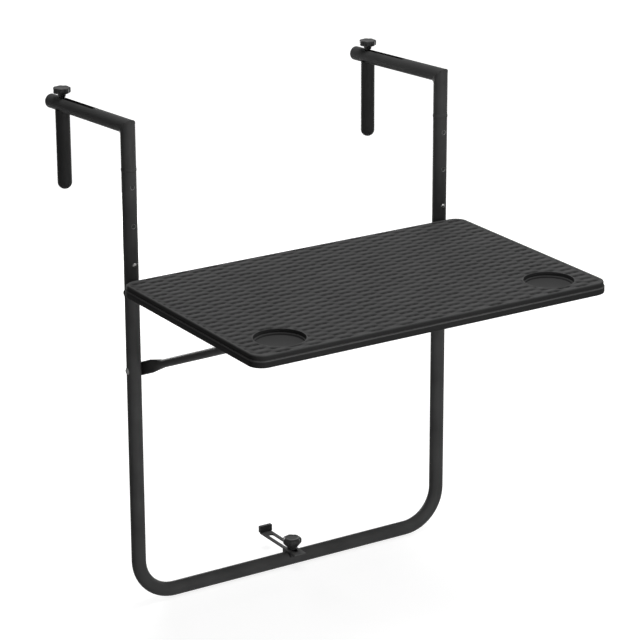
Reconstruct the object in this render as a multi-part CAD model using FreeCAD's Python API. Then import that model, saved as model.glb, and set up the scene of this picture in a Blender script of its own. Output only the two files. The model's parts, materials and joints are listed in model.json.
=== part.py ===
"""Hanging balcony table: a moulded top on a U-shaped tube frame that hooks over a railing.

Row frame, in millimetres: +X to the right of the person at the table, -Y towards that person,
+Y towards the railing, +Z up. The origin lies midway between the two hooks, in the plane of the
leg axes, level with the underside of the hook arms where they leave the legs: it is the top of
the railing. Pieces on the left stand at negative X.
"""
import FreeCAD, Part
import math
import os

V = FreeCAD.Vector

# Frame tube and its bends
TUBE_D = 22.0
TUBE_WALL = 1.2
LEG_FROM_TOP_EDGE = 28.0
BEND_R = 60.0
LEG_PAST_HOLES = 27.5

# Hooks: an arm over the railing and a reduced spigot that telescopes in the leg
ARM_LENGTH = 236.0
ELBOW_RISE = 61.0
ARM_DROOP_DEG = 3.5
SPIGOT_GAP = 0.2
SPIGOT_WALL = 1.2
SPIGOT_PAST_BUTTON = 25.0
SHOULDER_H = 3.0
SLOT_W = 8.4
SLOT_START = 97.0
SLOT_PAST_FINGER = 5.5

# Height holes in the legs and the snap buttons that lock in them
HOLE_PITCH = 58.5
HOLE_COUNT = 3
FIRST_HOLE_ABOVE_TOP = 20.5
BUTTON_D = 6.5
BUTTON_GAP = 0.35
BUTTON_OUT = 2.6
BUTTON_FLANGE_D = 9.0
BUTTON_FLANGE_H = 0.8
BUTTON_FLANGE_IN = 7.0
BUTTON_TRAVEL = 5.0
SPRING_T = 0.6
SPRING_W = 6.0
SPRING_DROP = 21.0
SPRING_RISE = 10.0

# Fingers that hang behind the railing, with their tips, inserts, screws and knobs
FINGER_FROM_ARM_END = 33.6
FINGER_BELOW_ARM = 121.0
SEAT_GAP = 0.3
FINGER_SEAT_WRAP = 3.5
PLUG_GAP = 0.1
PLUG_LENGTH = 14.0
PLUG_FLANGE_H = 1.2
PLUG_DOME_H = 2.8
INSERT_LENGTH = 18.0
SCREW_D = 6.0
SCREW_GAP = 0.05
SCREW_IN_INSERT = 12.0
SCREW_IN_KNOB = 9.0
FINGER_KNOB_D = 27.0
FINGER_KNOB_H = 8.5
FINGER_KNOB_NECK_D = 11.5
FINGER_KNOB_NECK_H = 6.0
FINGER_KNOB_TAPER_IN = 1.6
FINGER_KNOB_TAPER_H = 1.6
FINGER_KNOB_SHOULDER = 1.6
KNOB_LOBES = 7
KNOB_SCALLOP_D = 9.0
KNOB_SCALLOP_DEPTH = 1.6
KNOB_NECK_FLARE = 1.5

# Moulded top: an upper body with a wider skirt band below it, hollow underneath
TOP_WIDTH = 600.0
TOP_DEPTH = 380.0
TOP_THICKNESS = 18.0
TOP_ABOVE_BAR = 511.0
TOP_BACK_EDGE = 16.0
TOP_CORNER_R = 22.0
TOP_EDGE_R = 2.5
LEDGE_DROP = 7.5
LEDGE_OUT = 1.6
SKIN_T = 3.6
SKIRT_T = 2.6
RIB_T = 2.2
RIB_H = 6.0
RIBS_ACROSS = 5
RIBS_ALONG = 3
CUP_D = 73.5
CUP_DEPTH = 9.0
CUP_WALL = 2.4
CUP_FROM_SIDE = 71.0
CUP_FROM_FRONT = 55.0
NOTCH_W = 32.0
NOTCH_H = 7.5
FOLD_DEG = 88.0

# Hinge of the top on the legs
PIVOT_BELOW_TOP = 24.0
PIVOT_D = 6.0
PIVOT_GAP = 0.05
WASHER_T = 1.0
WASHER_D = 13.0
BRACKET_T = 2.0
BRACKET_R = 9.5
BRACKET_LENGTH = 64.0
BRACKET_TAIL_H = 7.0
FLANGE_W = 20.0
FLANGE_BELOW_SKIN = 3.0
BRACKET_SCREW_PITCH = 22.0
BRACKET_SCREW_D = 4.0
BRACKET_SCREW_IN = 4.4
BRACKET_SCREW_HEAD_D = 8.0
BRACKET_SCREW_HEAD_H = 2.4
HEAD_ROUND = 0.6
BRACKET_SLOPE = 4.0
BOSS_D = 9.0
BOLT_HEAD_D = 11.0
BOLT_HEAD_H = 2.2
NUT_ACROSS = 10.0
NUT_H = 5.0

# Support brace: a bent tube with flattened ends riveted to the legs
BRACE_PIVOT_DROP = 121.0
BRACE_D = 12.7
BRACE_WALL = 1.2
BRACE_REACH = 277.5
BRACE_TOP_GAP = 2.0
BRACE_BEND_R = 32.0
BRACE_FLAT_W = 20.0
BRACE_FLAT_T = 3.0
BRACE_FLAT_LENGTH = 33.0
BRACE_NECK_LENGTH = 30.0
BRACE_VENT_D = 4.0
RIVET_D = 6.0
RIVET_HEAD_D = 10.5
RIVET_HEAD_H = 2.0
CATCH_AT = 150.0
CATCH_W = 24.0
CATCH_DEPTH = 30.0
CATCH_LIP = 1.0
CATCH_OPEN_DEG = 24.0
CATCH_BACK_T = 4.0
CATCH_SCREW_D = 4.0
CATCH_SCREW_HEAD_D = 8.0
CATCH_SCREW_HEAD_H = 2.4

# Spacer on the bottom bar that keeps the frame off the railing
STRIP_W = 19.6
STRIP_T = 2.0
STRIP_FRONT = 24.0
STRIP_BACK = 81.0
STRIP_RISE = 10.4
STRIP_SLOT_FRONT = 14.0
STRIP_SLOT_BACK = 66.0
PAD_W = 22.0
PAD_T = 5.0
PAD_H = 13.0
PAD_EDGE = 1.0
PAD_WALL = 1.6
SADDLE_W = 20.0
SADDLE_L = 24.0
SADDLE_T = 1.2
SADDLE_WRAP = 5.0
SPACER_KNOB_D = 30.0
SPACER_KNOB_H = 14.0
SPACER_KNOB_NECK_D = 14.5
SPACER_KNOB_NECK_H = 5.0
SPACER_KNOB_TAPER_IN = 6.2
SPACER_KNOB_TAPER_H = 6.5
SPACER_KNOB_SHOULDER = 3.8
BAR_INSERT_D = 9.0
BAR_INSERT_L = 12.0
BAR_INSERT_FLANGE_D = 12.0
BAR_INSERT_FLANGE_H = 0.8

# Clearances at the ends of the sliding pieces' travel
STOP_GAP = 0.5

# How far a cut runs past the face that it opens
CUT_PAST = 1.0

# Places worked out from the driving sizes
TUBE_R = TUBE_D / 2.0
BORE_R = TUBE_R - TUBE_WALL
LEG_X = TOP_WIDTH / 2.0 - LEG_FROM_TOP_EDGE
ARM_Z = TUBE_R
LEG_TOP_Z = ARM_Z - ELBOW_RISE
HOLE_Z = LEG_TOP_Z - LEG_PAST_HOLES - HOLE_PITCH * (HOLE_COUNT - 1)
TOP_Z = HOLE_Z - FIRST_HOLE_ABOVE_TOP
BAR_Z = TOP_Z - TOP_ABOVE_BAR
SKIN_Z = TOP_Z - SKIN_T
RIM_Z = TOP_Z - TOP_THICKNESS
TOP_MID_Y = -TOP_BACK_EDGE - TOP_DEPTH / 2.0
TOP_FRONT_Y = -TOP_BACK_EDGE - TOP_DEPTH
PIVOT_Z = TOP_Z - PIVOT_BELOW_TOP
NOTCH_FRONT_Y = -TOP_BACK_EDGE - LEDGE_OUT - 2 * SKIRT_T
SPIGOT_R = BORE_R - SPIGOT_GAP
SPIGOT_BORE_R = SPIGOT_R - SPIGOT_WALL
SPIGOT_END_Z = HOLE_Z - SPIGOT_PAST_BUTTON
DROOP = math.radians(ARM_DROOP_DEG)
ARM_DIR = V(0, math.cos(DROOP), -math.sin(DROOP))
FINGER_ALONG = ARM_LENGTH - FINGER_FROM_ARM_END
INNER_SIDE_X = LEG_X - TUBE_R
BRACKET_X = INNER_SIDE_X - WASHER_T
FLANGE_Z = SKIN_Z - FLANGE_BELOW_SKIN
BRACE_PIVOT_Z = PIVOT_Z - BRACE_PIVOT_DROP
BRACE_R = BRACE_D / 2.0
BRACE_X = BRACKET_X - BRACE_R
BRACE_BAR_Z = RIM_Z - BRACE_TOP_GAP - BRACE_R
BRACE_RISE = math.atan2(BRACE_BAR_Z - BRACE_PIVOT_Z, BRACE_REACH)
BRACE_LENGTH = math.hypot(BRACE_BAR_Z - BRACE_PIVOT_Z, BRACE_REACH)
BAR_TOP_Z = BAR_Z + TUBE_R
STRIP_Z = BAR_TOP_Z + SADDLE_T
CUP_X = TOP_WIDTH / 2.0 - CUP_FROM_SIDE
CUP_Y = TOP_FRONT_Y + CUP_FROM_FRONT

# Travel of the sliding pieces, from rest to where a slot's end or a neighbour stops them
FINGER_IN = FINGER_ALONG - SLOT_START - SCREW_D / 2.0 - 2 * STOP_GAP
FINGER_OUT = SLOT_PAST_FINGER - SCREW_D / 2.0 - 2 * STOP_GAP
PAD_BACK = STRIP_BACK + PAD_WALL
SPACER_IN = min(PAD_BACK - PAD_T - SPACER_KNOB_D / 2.0, STRIP_SLOT_BACK - SCREW_D / 2.0) - STOP_GAP
SPACER_OUT = STRIP_SLOT_FRONT - SCREW_D / 2.0 - STOP_GAP


def sided(side):
    """Name of the side at -X or +X."""
    return "left" if side < 0 else "right"


def rod(radius, start, end):
    """Solid cylinder between two points."""
    along = end.sub(start)
    return Part.makeCylinder(radius, along.Length, start, along)


def block(low, high):
    """Box between two corners."""
    size = high.sub(low)
    return Part.makeBox(size.x, size.y, size.z, low)


def pipe(radius, wire, start_dir):
    """Round bar carried along a wire; sharp corners are mitred."""
    start = wire.OrderedVertexes[0].Point
    ring = Part.Wire(Part.makeCircle(radius, start, start_dir))
    return wire.makePipeShell([ring], True, False, 1)


def bent_path(points, radius):
    """Wire of straight runs joined by tangent arcs of one radius."""
    edges = []
    here = points[0]
    for before, corner, after in zip(points, points[1:], points[2:]):
        way_in = corner.sub(before).normalize()
        way_out = after.sub(corner).normalize()
        half_turn = way_in.getAngle(way_out) / 2.0
        back_off = radius * math.tan(half_turn)
        start = corner.sub(way_in * back_off)
        end = corner.add(way_out * back_off)
        to_centre = way_out.sub(way_in).normalize()
        centre = corner.add(to_centre * (radius / math.cos(half_turn)))
        middle = centre.sub(to_centre * radius)
        edges.append(Part.makeLine(here, start))
        edges.append(Part.Arc(start, middle, end).toShape())
        here = end
    edges.append(Part.makeLine(here, points[-1]))
    return Part.Wire(edges)


def rounded_slab(width, depth, radius, low_z, high_z, mid_y):
    """Upright slab with rounded corners, centred on X."""
    half_w = width / 2.0
    half_d = depth / 2.0
    box = Part.makeBox(width, depth, high_z - low_z, V(-half_w, mid_y - half_d, low_z))
    upright = [e for e in box.Edges if abs(e.tangentAt(e.FirstParameter).z) > 0.99]
    return box.makeFillet(radius, upright)


def slot_solid(width, start, end, low, high):
    """Round-ended bar along Y, centred on X = 0, that cuts a slot."""
    r = width / 2.0
    body = block(V(-r, start + r, low), V(r, end - r, high))
    for y in (start + r, end - r):
        body = body.fuse(Part.makeCylinder(r, high - low, V(0, y, low)))
    return body


def bent_strip(points, thickness, half_width):
    """Flat strip along points in the YZ plane, with rounded outer corners."""
    r = thickness / 2.0
    solid = None
    for a, b in zip(points, points[1:]):
        along = b.sub(a)
        leaf = Part.makeBox(2 * half_width, along.Length, thickness, V(-half_width, 0, -r))
        angle = math.degrees(math.atan2(along.z, along.y))
        leaf.rotate(V(0, 0, 0), V(1, 0, 0), angle)
        leaf.translate(a)
        solid = leaf if solid is None else solid.fuse(leaf)
    for corner in points[1:-1]:
        solid = solid.fuse(rod(r, corner.add(V(-half_width, 0, 0)), corner.add(V(half_width, 0, 0))))
    return solid.removeSplitter()


def moved(shape, x=0.0, y=0.0, z=0.0):
    """Copy of a shape shifted by an offset."""
    copy = shape.copy()
    copy.translate(V(x, y, z))
    return copy


def drooped(shape, side):
    """Turns a shape made along a level arm so that it follows the sloping arm."""
    copy = shape.copy()
    copy.translate(V(side * LEG_X, 0, ARM_Z))
    copy.rotate(V(side * LEG_X, 0, ARM_Z), V(1, 0, 0), -ARM_DROOP_DEG)
    return copy


def arm_point(distance):
    """Point on an arm's axis, at a distance along it from the elbow, without its X."""
    return V(0, distance * math.cos(DROOP), ARM_Z - distance * math.sin(DROOP))


def finger_place():
    """Point on the arm's axis above the finger, in the plane X = 0."""
    return arm_point(FINGER_ALONG)


def domed_plug(radius, stem_r, stem_length, flange_h, dome_h):
    """End plug along +Z: a stem below Z = 0, then a flange and a low dome above it."""
    sphere_r = (radius * radius + dome_h * dome_h) / (2.0 * dome_h)
    ball = Part.makeSphere(sphere_r, V(0, 0, flange_h + dome_h - sphere_r))
    cap = ball.common(Part.makeCylinder(radius, dome_h, V(0, 0, flange_h)))
    body = Part.makeCylinder(stem_r, stem_length, V(0, 0, -stem_length))
    body = body.fuse(Part.makeCylinder(radius, flange_h))
    return body.fuse(cap).removeSplitter()


def knob_head(radius, height, taper_in, taper_h, shoulder):
    """Turned head along +Z: a tapered underside, an upright side and a rounded shoulder."""
    corner = shoulder * (1.0 - math.sqrt(0.5))
    edges = [
        Part.makeLine(V(0, 0, 0), V(radius - taper_in, 0, 0)),
        Part.makeLine(V(radius - taper_in, 0, 0), V(radius, 0, taper_h)),
        Part.makeLine(V(radius, 0, taper_h), V(radius, 0, height - shoulder)),
        Part.Arc(V(radius, 0, height - shoulder), V(radius - corner, 0, height - corner),
                 V(radius - shoulder, 0, height)).toShape(),
        Part.makeLine(V(radius - shoulder, 0, height), V(0, 0, height)),
        Part.makeLine(V(0, 0, height), V(0, 0, 0)),
    ]
    return Part.Face(Part.Wire(edges)).revolve(V(0, 0, 0), V(0, 0, 1), 360)


def lobed_knob(head, radius, neck_d, neck_h):
    """Clamping knob with its neck's foot at Z = 0, lobes round its head and a blind bore for its screw."""
    height = head.BoundBox.ZMax
    head = moved(head, 0, 0, neck_h)
    scallop_r = KNOB_SCALLOP_D / 2.0
    reach = radius + scallop_r - KNOB_SCALLOP_DEPTH
    for k in range(KNOB_LOBES):
        turn = 2.0 * math.pi * k / KNOB_LOBES
        at = V(reach * math.cos(turn), reach * math.sin(turn), neck_h)
        head = head.cut(Part.makeCylinder(scallop_r, height, at))
    neck = Part.makeCone(neck_d / 2.0, neck_d / 2.0 + KNOB_NECK_FLARE, neck_h)
    bore = Part.makeCylinder(SCREW_D / 2.0 + PLUG_GAP, SCREW_IN_KNOB + PLUG_GAP)
    return head.fuse(neck).cut(bore).removeSplitter()


def make_frame():
    """U-shaped tube with height holes, hinge holes and the spacer's hole."""
    corners = [
        V(-LEG_X, 0, LEG_TOP_Z),
        V(-LEG_X, 0, BAR_Z),
        V(LEG_X, 0, BAR_Z),
        V(LEG_X, 0, LEG_TOP_Z),
    ]
    path = bent_path(corners, BEND_R)
    frame = pipe(TUBE_R, path, V(0, 0, -1)).cut(pipe(BORE_R, path, V(0, 0, -1)))
    for side in (-1, 1):
        for k in range(HOLE_COUNT):
            z = HOLE_Z + k * HOLE_PITCH
            reach = V(side * LEG_X, -TUBE_D, z)
            frame = frame.cut(rod(BUTTON_D / 2.0 + BUTTON_GAP, reach, V(side * LEG_X, 0, z)))
        for z, d in ((PIVOT_Z, PIVOT_D), (BRACE_PIVOT_Z, RIVET_D)):
            inner = V(side * (LEG_X - TUBE_D), 0, z)
            outer = V(side * (LEG_X + TUBE_D), 0, z)
            frame = frame.cut(rod(d / 2.0 + PIVOT_GAP, inner, outer))
    insert_r = BAR_INSERT_D / 2.0 + PLUG_GAP
    return frame.cut(Part.makeCylinder(insert_r, TUBE_D, V(0, 0, BAR_Z)))


def make_hook(side):
    """Hook tube: mitred elbow, slotted arm and the reduced spigot inside the leg."""
    x = side * LEG_X
    elbow = V(x, 0, ARM_Z)
    tip = elbow.add(ARM_DIR * ARM_LENGTH)
    past_tip = elbow.add(ARM_DIR * (ARM_LENGTH + TUBE_D))
    outer = pipe(TUBE_R, Part.makePolygon([V(x, 0, LEG_TOP_Z), elbow, tip]), V(0, 0, 1))
    shoulder = V(x, 0, LEG_TOP_Z + SHOULDER_H)
    inner = pipe(BORE_R, Part.makePolygon([shoulder, elbow, past_tip]), V(0, 0, 1))
    spigot = rod(SPIGOT_R, V(x, 0, SPIGOT_END_Z), shoulder)
    hook = outer.cut(inner).fuse(spigot)
    hook = hook.cut(rod(SPIGOT_BORE_R, V(x, 0, SPIGOT_END_Z), shoulder))
    hole = rod(BUTTON_D / 2.0 + BUTTON_GAP, V(x, -TUBE_D, HOLE_Z), V(x, 0, HOLE_Z))
    slot = slot_solid(SLOT_W, SLOT_START, FINGER_ALONG + SLOT_PAST_FINGER, -TUBE_D, TUBE_D)
    return hook.cut(hole).cut(drooped(slot, side)).removeSplitter()


def make_arm_plug(side):
    """Domed plastic plug in the open end of a hook arm."""
    plug = domed_plug(TUBE_R, BORE_R - PLUG_GAP, PLUG_LENGTH, PLUG_FLANGE_H, PLUG_DOME_H)
    plug.rotate(V(0, 0, 0), V(1, 0, 0), -90)
    plug.translate(V(0, ARM_LENGTH, 0))
    return drooped(plug, side)


def make_button(side):
    """Snap button: a domed pin with a flange that rests inside the spigot."""
    r = BUTTON_D / 2.0
    out = TUBE_R + BUTTON_OUT
    shank = rod(r, V(0, -BUTTON_FLANGE_IN, 0), V(0, -(out - r), 0))
    shank = shank.fuse(Part.makeSphere(r, V(0, -(out - r), 0)).common(
        block(V(-r, -out, -r), V(r, -(out - r), r))))
    inner_end = -(BUTTON_FLANGE_IN - BUTTON_FLANGE_H)
    flange = rod(BUTTON_FLANGE_D / 2.0, V(0, -BUTTON_FLANGE_IN, 0), V(0, inner_end, 0))
    return moved(shank.fuse(flange).removeSplitter(), side * LEG_X, 0, HOLE_Z)


def make_button_spring(side):
    """V-shaped leaf spring in the spigot that pushes the button out."""
    half_t = SPRING_T / 2.0
    front = -(BUTTON_FLANGE_IN - BUTTON_FLANGE_H) + half_t
    back = math.sqrt(SPIGOT_BORE_R ** 2 - (SPRING_W / 2.0) ** 2) - half_t - PLUG_GAP
    points = [
        V(0, front, BUTTON_FLANGE_D / 2.0),
        V(0, front, -BUTTON_FLANGE_D / 2.0),
        V(0, 0, -SPRING_DROP),
        V(0, back, SPRING_RISE),
    ]
    return moved(bent_strip(points, SPRING_T, SPRING_W / 2.0), side * LEG_X, 0, HOLE_Z)


def make_finger(side):
    """Tube that hangs behind the railing; its top is coped round the arm's underside."""
    x = side * LEG_X
    place = finger_place()
    low = finger_low_z()
    finger = rod(TUBE_R, V(x, place.y, low), V(x, place.y, place.z))
    finger = finger.cut(rod(BORE_R, V(x, place.y, low), V(x, place.y, place.z)))
    arm = rod(TUBE_R + SEAT_GAP, V(0, 0, 0), V(0, 2 * ARM_LENGTH, 0))
    above = block(V(-TUBE_D, 0, FINGER_SEAT_WRAP - TUBE_R), V(TUBE_D, 2 * ARM_LENGTH, TUBE_D))
    return finger.cut(drooped(arm.fuse(above), side))


def finger_low_z():
    """Height of the finger tube's open lower end."""
    return ARM_Z - TUBE_R - FINGER_BELOW_ARM


def make_finger_tip(side):
    """Round tip that closes the finger's lower end."""
    tip = Part.makeSphere(TUBE_R).common(Part.makeCylinder(TUBE_R, TUBE_R, V(0, 0, -TUBE_R)))
    tip = tip.fuse(Part.makeCylinder(BORE_R - PLUG_GAP, PLUG_LENGTH))
    return moved(tip, side * LEG_X, finger_place().y, finger_low_z())


def make_finger_insert(side):
    """Threaded plug in the finger's upper end, cut to the arm's slope."""
    place = finger_place()
    top = place.z - TUBE_R
    insert = Part.makeCylinder(BORE_R - PLUG_GAP, INSERT_LENGTH, V(0, 0, -INSERT_LENGTH))
    bore = Part.makeCylinder(SCREW_D / 2.0 + SCREW_GAP, 2 * INSERT_LENGTH, V(0, 0, -INSERT_LENGTH))
    insert = moved(insert.cut(bore), side * LEG_X, place.y, top)
    above = block(V(-TUBE_D, 0, -TUBE_R - 2 * SEAT_GAP), V(TUBE_D, 2 * ARM_LENGTH, TUBE_D))
    return insert.cut(drooped(above, side))


def finger_knob_foot():
    """Height of a finger knob's neck, just clear of the sloping arm's top."""
    neck_r = FINGER_KNOB_NECK_D / 2.0
    return finger_place().z + TUBE_R / math.cos(DROOP) + neck_r * math.tan(DROOP) + SEAT_GAP


def make_finger_knob(side):
    """Knob that clamps a finger to its arm."""
    radius = FINGER_KNOB_D / 2.0
    head = knob_head(radius, FINGER_KNOB_H, FINGER_KNOB_TAPER_IN, FINGER_KNOB_TAPER_H, FINGER_KNOB_SHOULDER)
    knob = lobed_knob(head, radius, FINGER_KNOB_NECK_D, FINGER_KNOB_NECK_H)
    return moved(knob, side * LEG_X, finger_place().y, finger_knob_foot())


def make_finger_screw(side):
    """Steel stud from the knob through the arm's slots into the finger's insert."""
    place = finger_place()
    low = place.z - TUBE_R - SCREW_IN_INSERT
    high = finger_knob_foot() + SCREW_IN_KNOB
    return rod(SCREW_D / 2.0, V(side * LEG_X, place.y, low), V(side * LEG_X, place.y, high))


def underside_ribs():
    """Grid of stiffening ribs below the skin, clear of the cups."""
    low = SKIN_Z - RIB_H
    half_t = RIB_T / 2.0
    inner_x = TOP_WIDTH / 2.0 - SKIRT_T - LEDGE_OUT
    front = TOP_FRONT_Y + SKIRT_T
    back = -TOP_BACK_EDGE - SKIRT_T
    ribs = None
    for k in range(RIBS_ACROSS):
        x = (k - (RIBS_ACROSS - 1) / 2.0) * 2.0 * LEG_X / RIBS_ACROSS
        rib = block(V(x - half_t, front, low), V(x + half_t, back, TOP_Z - SKIN_T / 2.0))
        ribs = rib if ribs is None else ribs.fuse(rib)
    for k in range(RIBS_ALONG):
        y = back - (k + 1) * (back - front) / (RIBS_ALONG + 1)
        rib = block(V(-inner_x, y - half_t, low), V(inner_x, y + half_t, TOP_Z - SKIN_T / 2.0))
        ribs = ribs.fuse(rib)
    return ribs


def bracket_screw_places(side):
    """Centres of the two screws in a hinge bracket's flange."""
    x = side * (BRACKET_X - FLANGE_W / 2.0)
    front = -BRACKET_LENGTH + BRACKET_SCREW_D * 2.0
    return [V(x, front, 0), V(x, front + BRACKET_SCREW_PITCH, 0)]


def catch_centre(side):
    """Point on the brace's cross tube under a catch."""
    return V(side * CATCH_AT, -BRACE_REACH, BRACE_BAR_Z)


def make_top():
    """Moulded top: skin, stepped skirt, cup recesses, ribs, bosses and leg notches."""
    upper_w = TOP_WIDTH - 2 * LEDGE_OUT
    upper_d = TOP_DEPTH - 2 * LEDGE_OUT
    ledge_z = TOP_Z - LEDGE_DROP
    upper = rounded_slab(upper_w, upper_d, TOP_CORNER_R - LEDGE_OUT, RIM_Z, TOP_Z, TOP_MID_Y)
    rim = [e for e in upper.Edges if all(abs(v.Z - TOP_Z) < 1e-6 for v in e.Vertexes)]
    upper = upper.makeFillet(TOP_EDGE_R, rim)
    lower = rounded_slab(TOP_WIDTH, TOP_DEPTH, TOP_CORNER_R, RIM_Z, ledge_z, TOP_MID_Y)
    inset = 2 * (LEDGE_OUT + SKIRT_T)
    hollow = rounded_slab(TOP_WIDTH - inset, TOP_DEPTH - inset, TOP_CORNER_R - inset / 2.0,
                          RIM_Z, SKIN_Z, TOP_MID_Y)
    top = upper.fuse(lower).cut(hollow).fuse(underside_ribs())
    cup_z = TOP_Z - CUP_DEPTH
    for side in (-1, 1):
        under = V(side * CUP_X, CUP_Y, cup_z - CUP_WALL)
        top = top.fuse(Part.makeCylinder(CUP_D / 2.0 + CUP_WALL, CUP_DEPTH, under))
        for place in bracket_screw_places(side):
            at = V(place.x, place.y, FLANGE_Z)
            top = top.fuse(Part.makeCylinder(BOSS_D / 2.0, SKIN_Z - FLANGE_Z + SKIN_T / 2.0, at))
    for side in (-1, 1):
        top = top.cut(Part.makeCylinder(CUP_D / 2.0, 2 * CUP_DEPTH, V(side * CUP_X, CUP_Y, cup_z)))
        half_notch = NOTCH_W / 2.0
        notch_back = -TOP_BACK_EDGE + TUBE_D
        top = top.cut(block(V(side * LEG_X - half_notch, NOTCH_FRONT_Y, RIM_Z - CUT_PAST),
                            V(side * LEG_X + half_notch, notch_back, RIM_Z + NOTCH_H)))
        for place in bracket_screw_places(side):
            at = V(place.x, place.y, FLANGE_Z)
            top = top.cut(Part.makeCylinder(BRACKET_SCREW_D / 2.0 + SCREW_GAP, BRACKET_SCREW_IN, at))
        centre = catch_centre(side)
        at = V(centre.x, centre.y + CATCH_DEPTH / 2.0, SKIN_Z)
        top = top.cut(Part.makeCylinder(CATCH_SCREW_D / 2.0 + SCREW_GAP, SKIN_T / 2.0, at))
    return top.removeSplitter()


def make_bracket(side):
    """Hinge bracket: an upright ear on the pivot bolt and a flange under the skin."""
    ear_back = V(0, 0, PIVOT_Z + BRACKET_R)
    flange_back = NOTCH_FRONT_Y - BRACKET_SLOPE
    outline = [
        ear_back,
        V(0, NOTCH_FRONT_Y, PIVOT_Z + BRACKET_R),
        V(0, flange_back, FLANGE_Z),
        V(0, -BRACKET_LENGTH, FLANGE_Z),
        V(0, -BRACKET_LENGTH, FLANGE_Z - BRACKET_TAIL_H),
        V(0, 0, PIVOT_Z - BRACKET_R),
    ]
    ear = Part.Face(Part.makePolygon(outline + [ear_back])).extrude(V(BRACKET_T, 0, 0))
    ear = ear.fuse(rod(BRACKET_R, V(0, 0, PIVOT_Z), V(BRACKET_T, 0, PIVOT_Z)))
    flange = block(V(BRACKET_T - FLANGE_W, -BRACKET_LENGTH, FLANGE_Z - BRACKET_T),
                   V(BRACKET_T, flange_back, FLANGE_Z))
    hole = rod(PIVOT_D / 2.0 + PIVOT_GAP, V(-TUBE_D, 0, PIVOT_Z), V(TUBE_D, 0, PIVOT_Z))
    bracket = moved(ear.fuse(flange).cut(hole), BRACKET_X - BRACKET_T)
    if side < 0:
        bracket = bracket.mirror(V(0, 0, 0), V(1, 0, 0))
    for place in bracket_screw_places(side):
        at = V(place.x, place.y, FLANGE_Z - 2 * BRACKET_T)
        bracket = bracket.cut(Part.makeCylinder(BRACKET_SCREW_D / 2.0 + SCREW_GAP, 3 * BRACKET_T, at))
    return bracket.removeSplitter()


def pan_screw(place, seat_z, depth, diameter, head_d, head_h):
    """Screw that points up from its seat, with a domed head below it."""
    shank = Part.makeCylinder(diameter / 2.0, depth, V(place.x, place.y, seat_z))
    head = Part.makeCylinder(head_d / 2.0, head_h, V(place.x, place.y, seat_z - head_h))
    low_edge = [e for e in head.Edges if abs(e.CenterOfMass.z - (seat_z - head_h)) < 1e-6]
    return head.makeFillet(head_h * HEAD_ROUND, low_edge).fuse(shank)


def make_bracket_screws():
    """The four screws that hold the hinge brackets, as separate solids."""
    seat = FLANGE_Z - BRACKET_T
    depth = BRACKET_T + BRACKET_SCREW_IN - PLUG_GAP
    screws = [
        pan_screw(place, seat, depth, BRACKET_SCREW_D, BRACKET_SCREW_HEAD_D, BRACKET_SCREW_HEAD_H)
        for side in (-1, 1)
        for place in bracket_screw_places(side)
    ]
    return Part.makeCompound(screws)


def hex_nut(across, height, x, z, side):
    """Hexagon nut on an X axis that grows inwards from a place."""
    corner_r = across / math.sqrt(3.0)
    turns = [k * math.pi / 3 for k in range(7)]
    ring = [V(0, corner_r * math.cos(turn), corner_r * math.sin(turn)) for turn in turns]
    nut = Part.Face(Part.makePolygon(ring)).extrude(V(-side * height, 0, 0))
    nut = nut.cut(rod(PIVOT_D / 2.0 + PIVOT_GAP, V(-TUBE_D, 0, 0), V(TUBE_D, 0, 0)))
    return moved(nut, side * x, 0, z)


def domed_head(radius, height, x, z, side):
    """Low dome on the outer or inner side of a place on an X axis."""
    sphere_r = (radius * radius + height * height) / (2.0 * height)
    ball = Part.makeSphere(sphere_r, V(height - sphere_r, 0, 0))
    dome = ball.common(rod(radius, V(0, 0, 0), V(height, 0, 0)))
    if side < 0:
        dome = dome.mirror(V(0, 0, 0), V(1, 0, 0))
    return moved(dome, x, 0, z)


def make_pivot_bolts():
    """The two hinge bolts of the top, as separate solids."""
    inner = BRACKET_X - BRACKET_T - SEAT_GAP - NUT_H
    outer = LEG_X + TUBE_R
    bolts = []
    for side in (-1, 1):
        shank = rod(PIVOT_D / 2.0, V(side * inner, 0, PIVOT_Z), V(side * outer, 0, PIVOT_Z))
        head = domed_head(BOLT_HEAD_D / 2.0, BOLT_HEAD_H, side * outer, PIVOT_Z, side)
        bolts.append(shank.fuse(head))
    return Part.makeCompound(bolts)


def make_pivot_nuts():
    """The lock nuts on the hinge bolts, as separate solids."""
    x = BRACKET_X - BRACKET_T - SEAT_GAP
    return Part.makeCompound([hex_nut(NUT_ACROSS, NUT_H, x, PIVOT_Z, side) for side in (-1, 1)])


def washer_pair(z, hole_d):
    """Plastic washers between the legs and what turns beside them, as separate solids."""
    washers = []
    for side in (-1, 1):
        near = V(side * BRACKET_X, 0, z)
        far = V(side * INNER_SIDE_X, 0, z)
        disc = rod(WASHER_D / 2.0, near, far).cut(rod(hole_d / 2.0 + PLUG_GAP, near, far))
        washers.append(disc)
    return Part.makeCompound(washers)


def flat_section(at, outward, across, width, thickness):
    """Round-ended flat section from two lines and two arcs."""
    half = (width - thickness) / 2.0
    r = thickness / 2.0
    a = at.add(across * half)
    b = at.sub(across * half)
    edges = [
        Part.Arc(a.add(outward * r), a.add(across * r), a.sub(outward * r)).toShape(),
        Part.makeLine(a.sub(outward * r), b.sub(outward * r)),
        Part.Arc(b.sub(outward * r), b.sub(across * r), b.add(outward * r)).toShape(),
        Part.makeLine(b.add(outward * r), a.add(outward * r)),
    ]
    return Part.Wire(edges)


def round_section(at, outward, across, radius):
    """Circle split to match the four edges of the flat section."""
    def rim(degrees):
        turn = math.radians(degrees)
        return at.add(outward * (radius * math.cos(turn))).add(across * (radius * math.sin(turn)))
    stops = (60, 120, 240, 300, 420)
    edges = [Part.Arc(rim(a), rim((a + b) / 2.0), rim(b)).toShape() for a, b in zip(stops, stops[1:])]
    return Part.Wire(edges)


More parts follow.
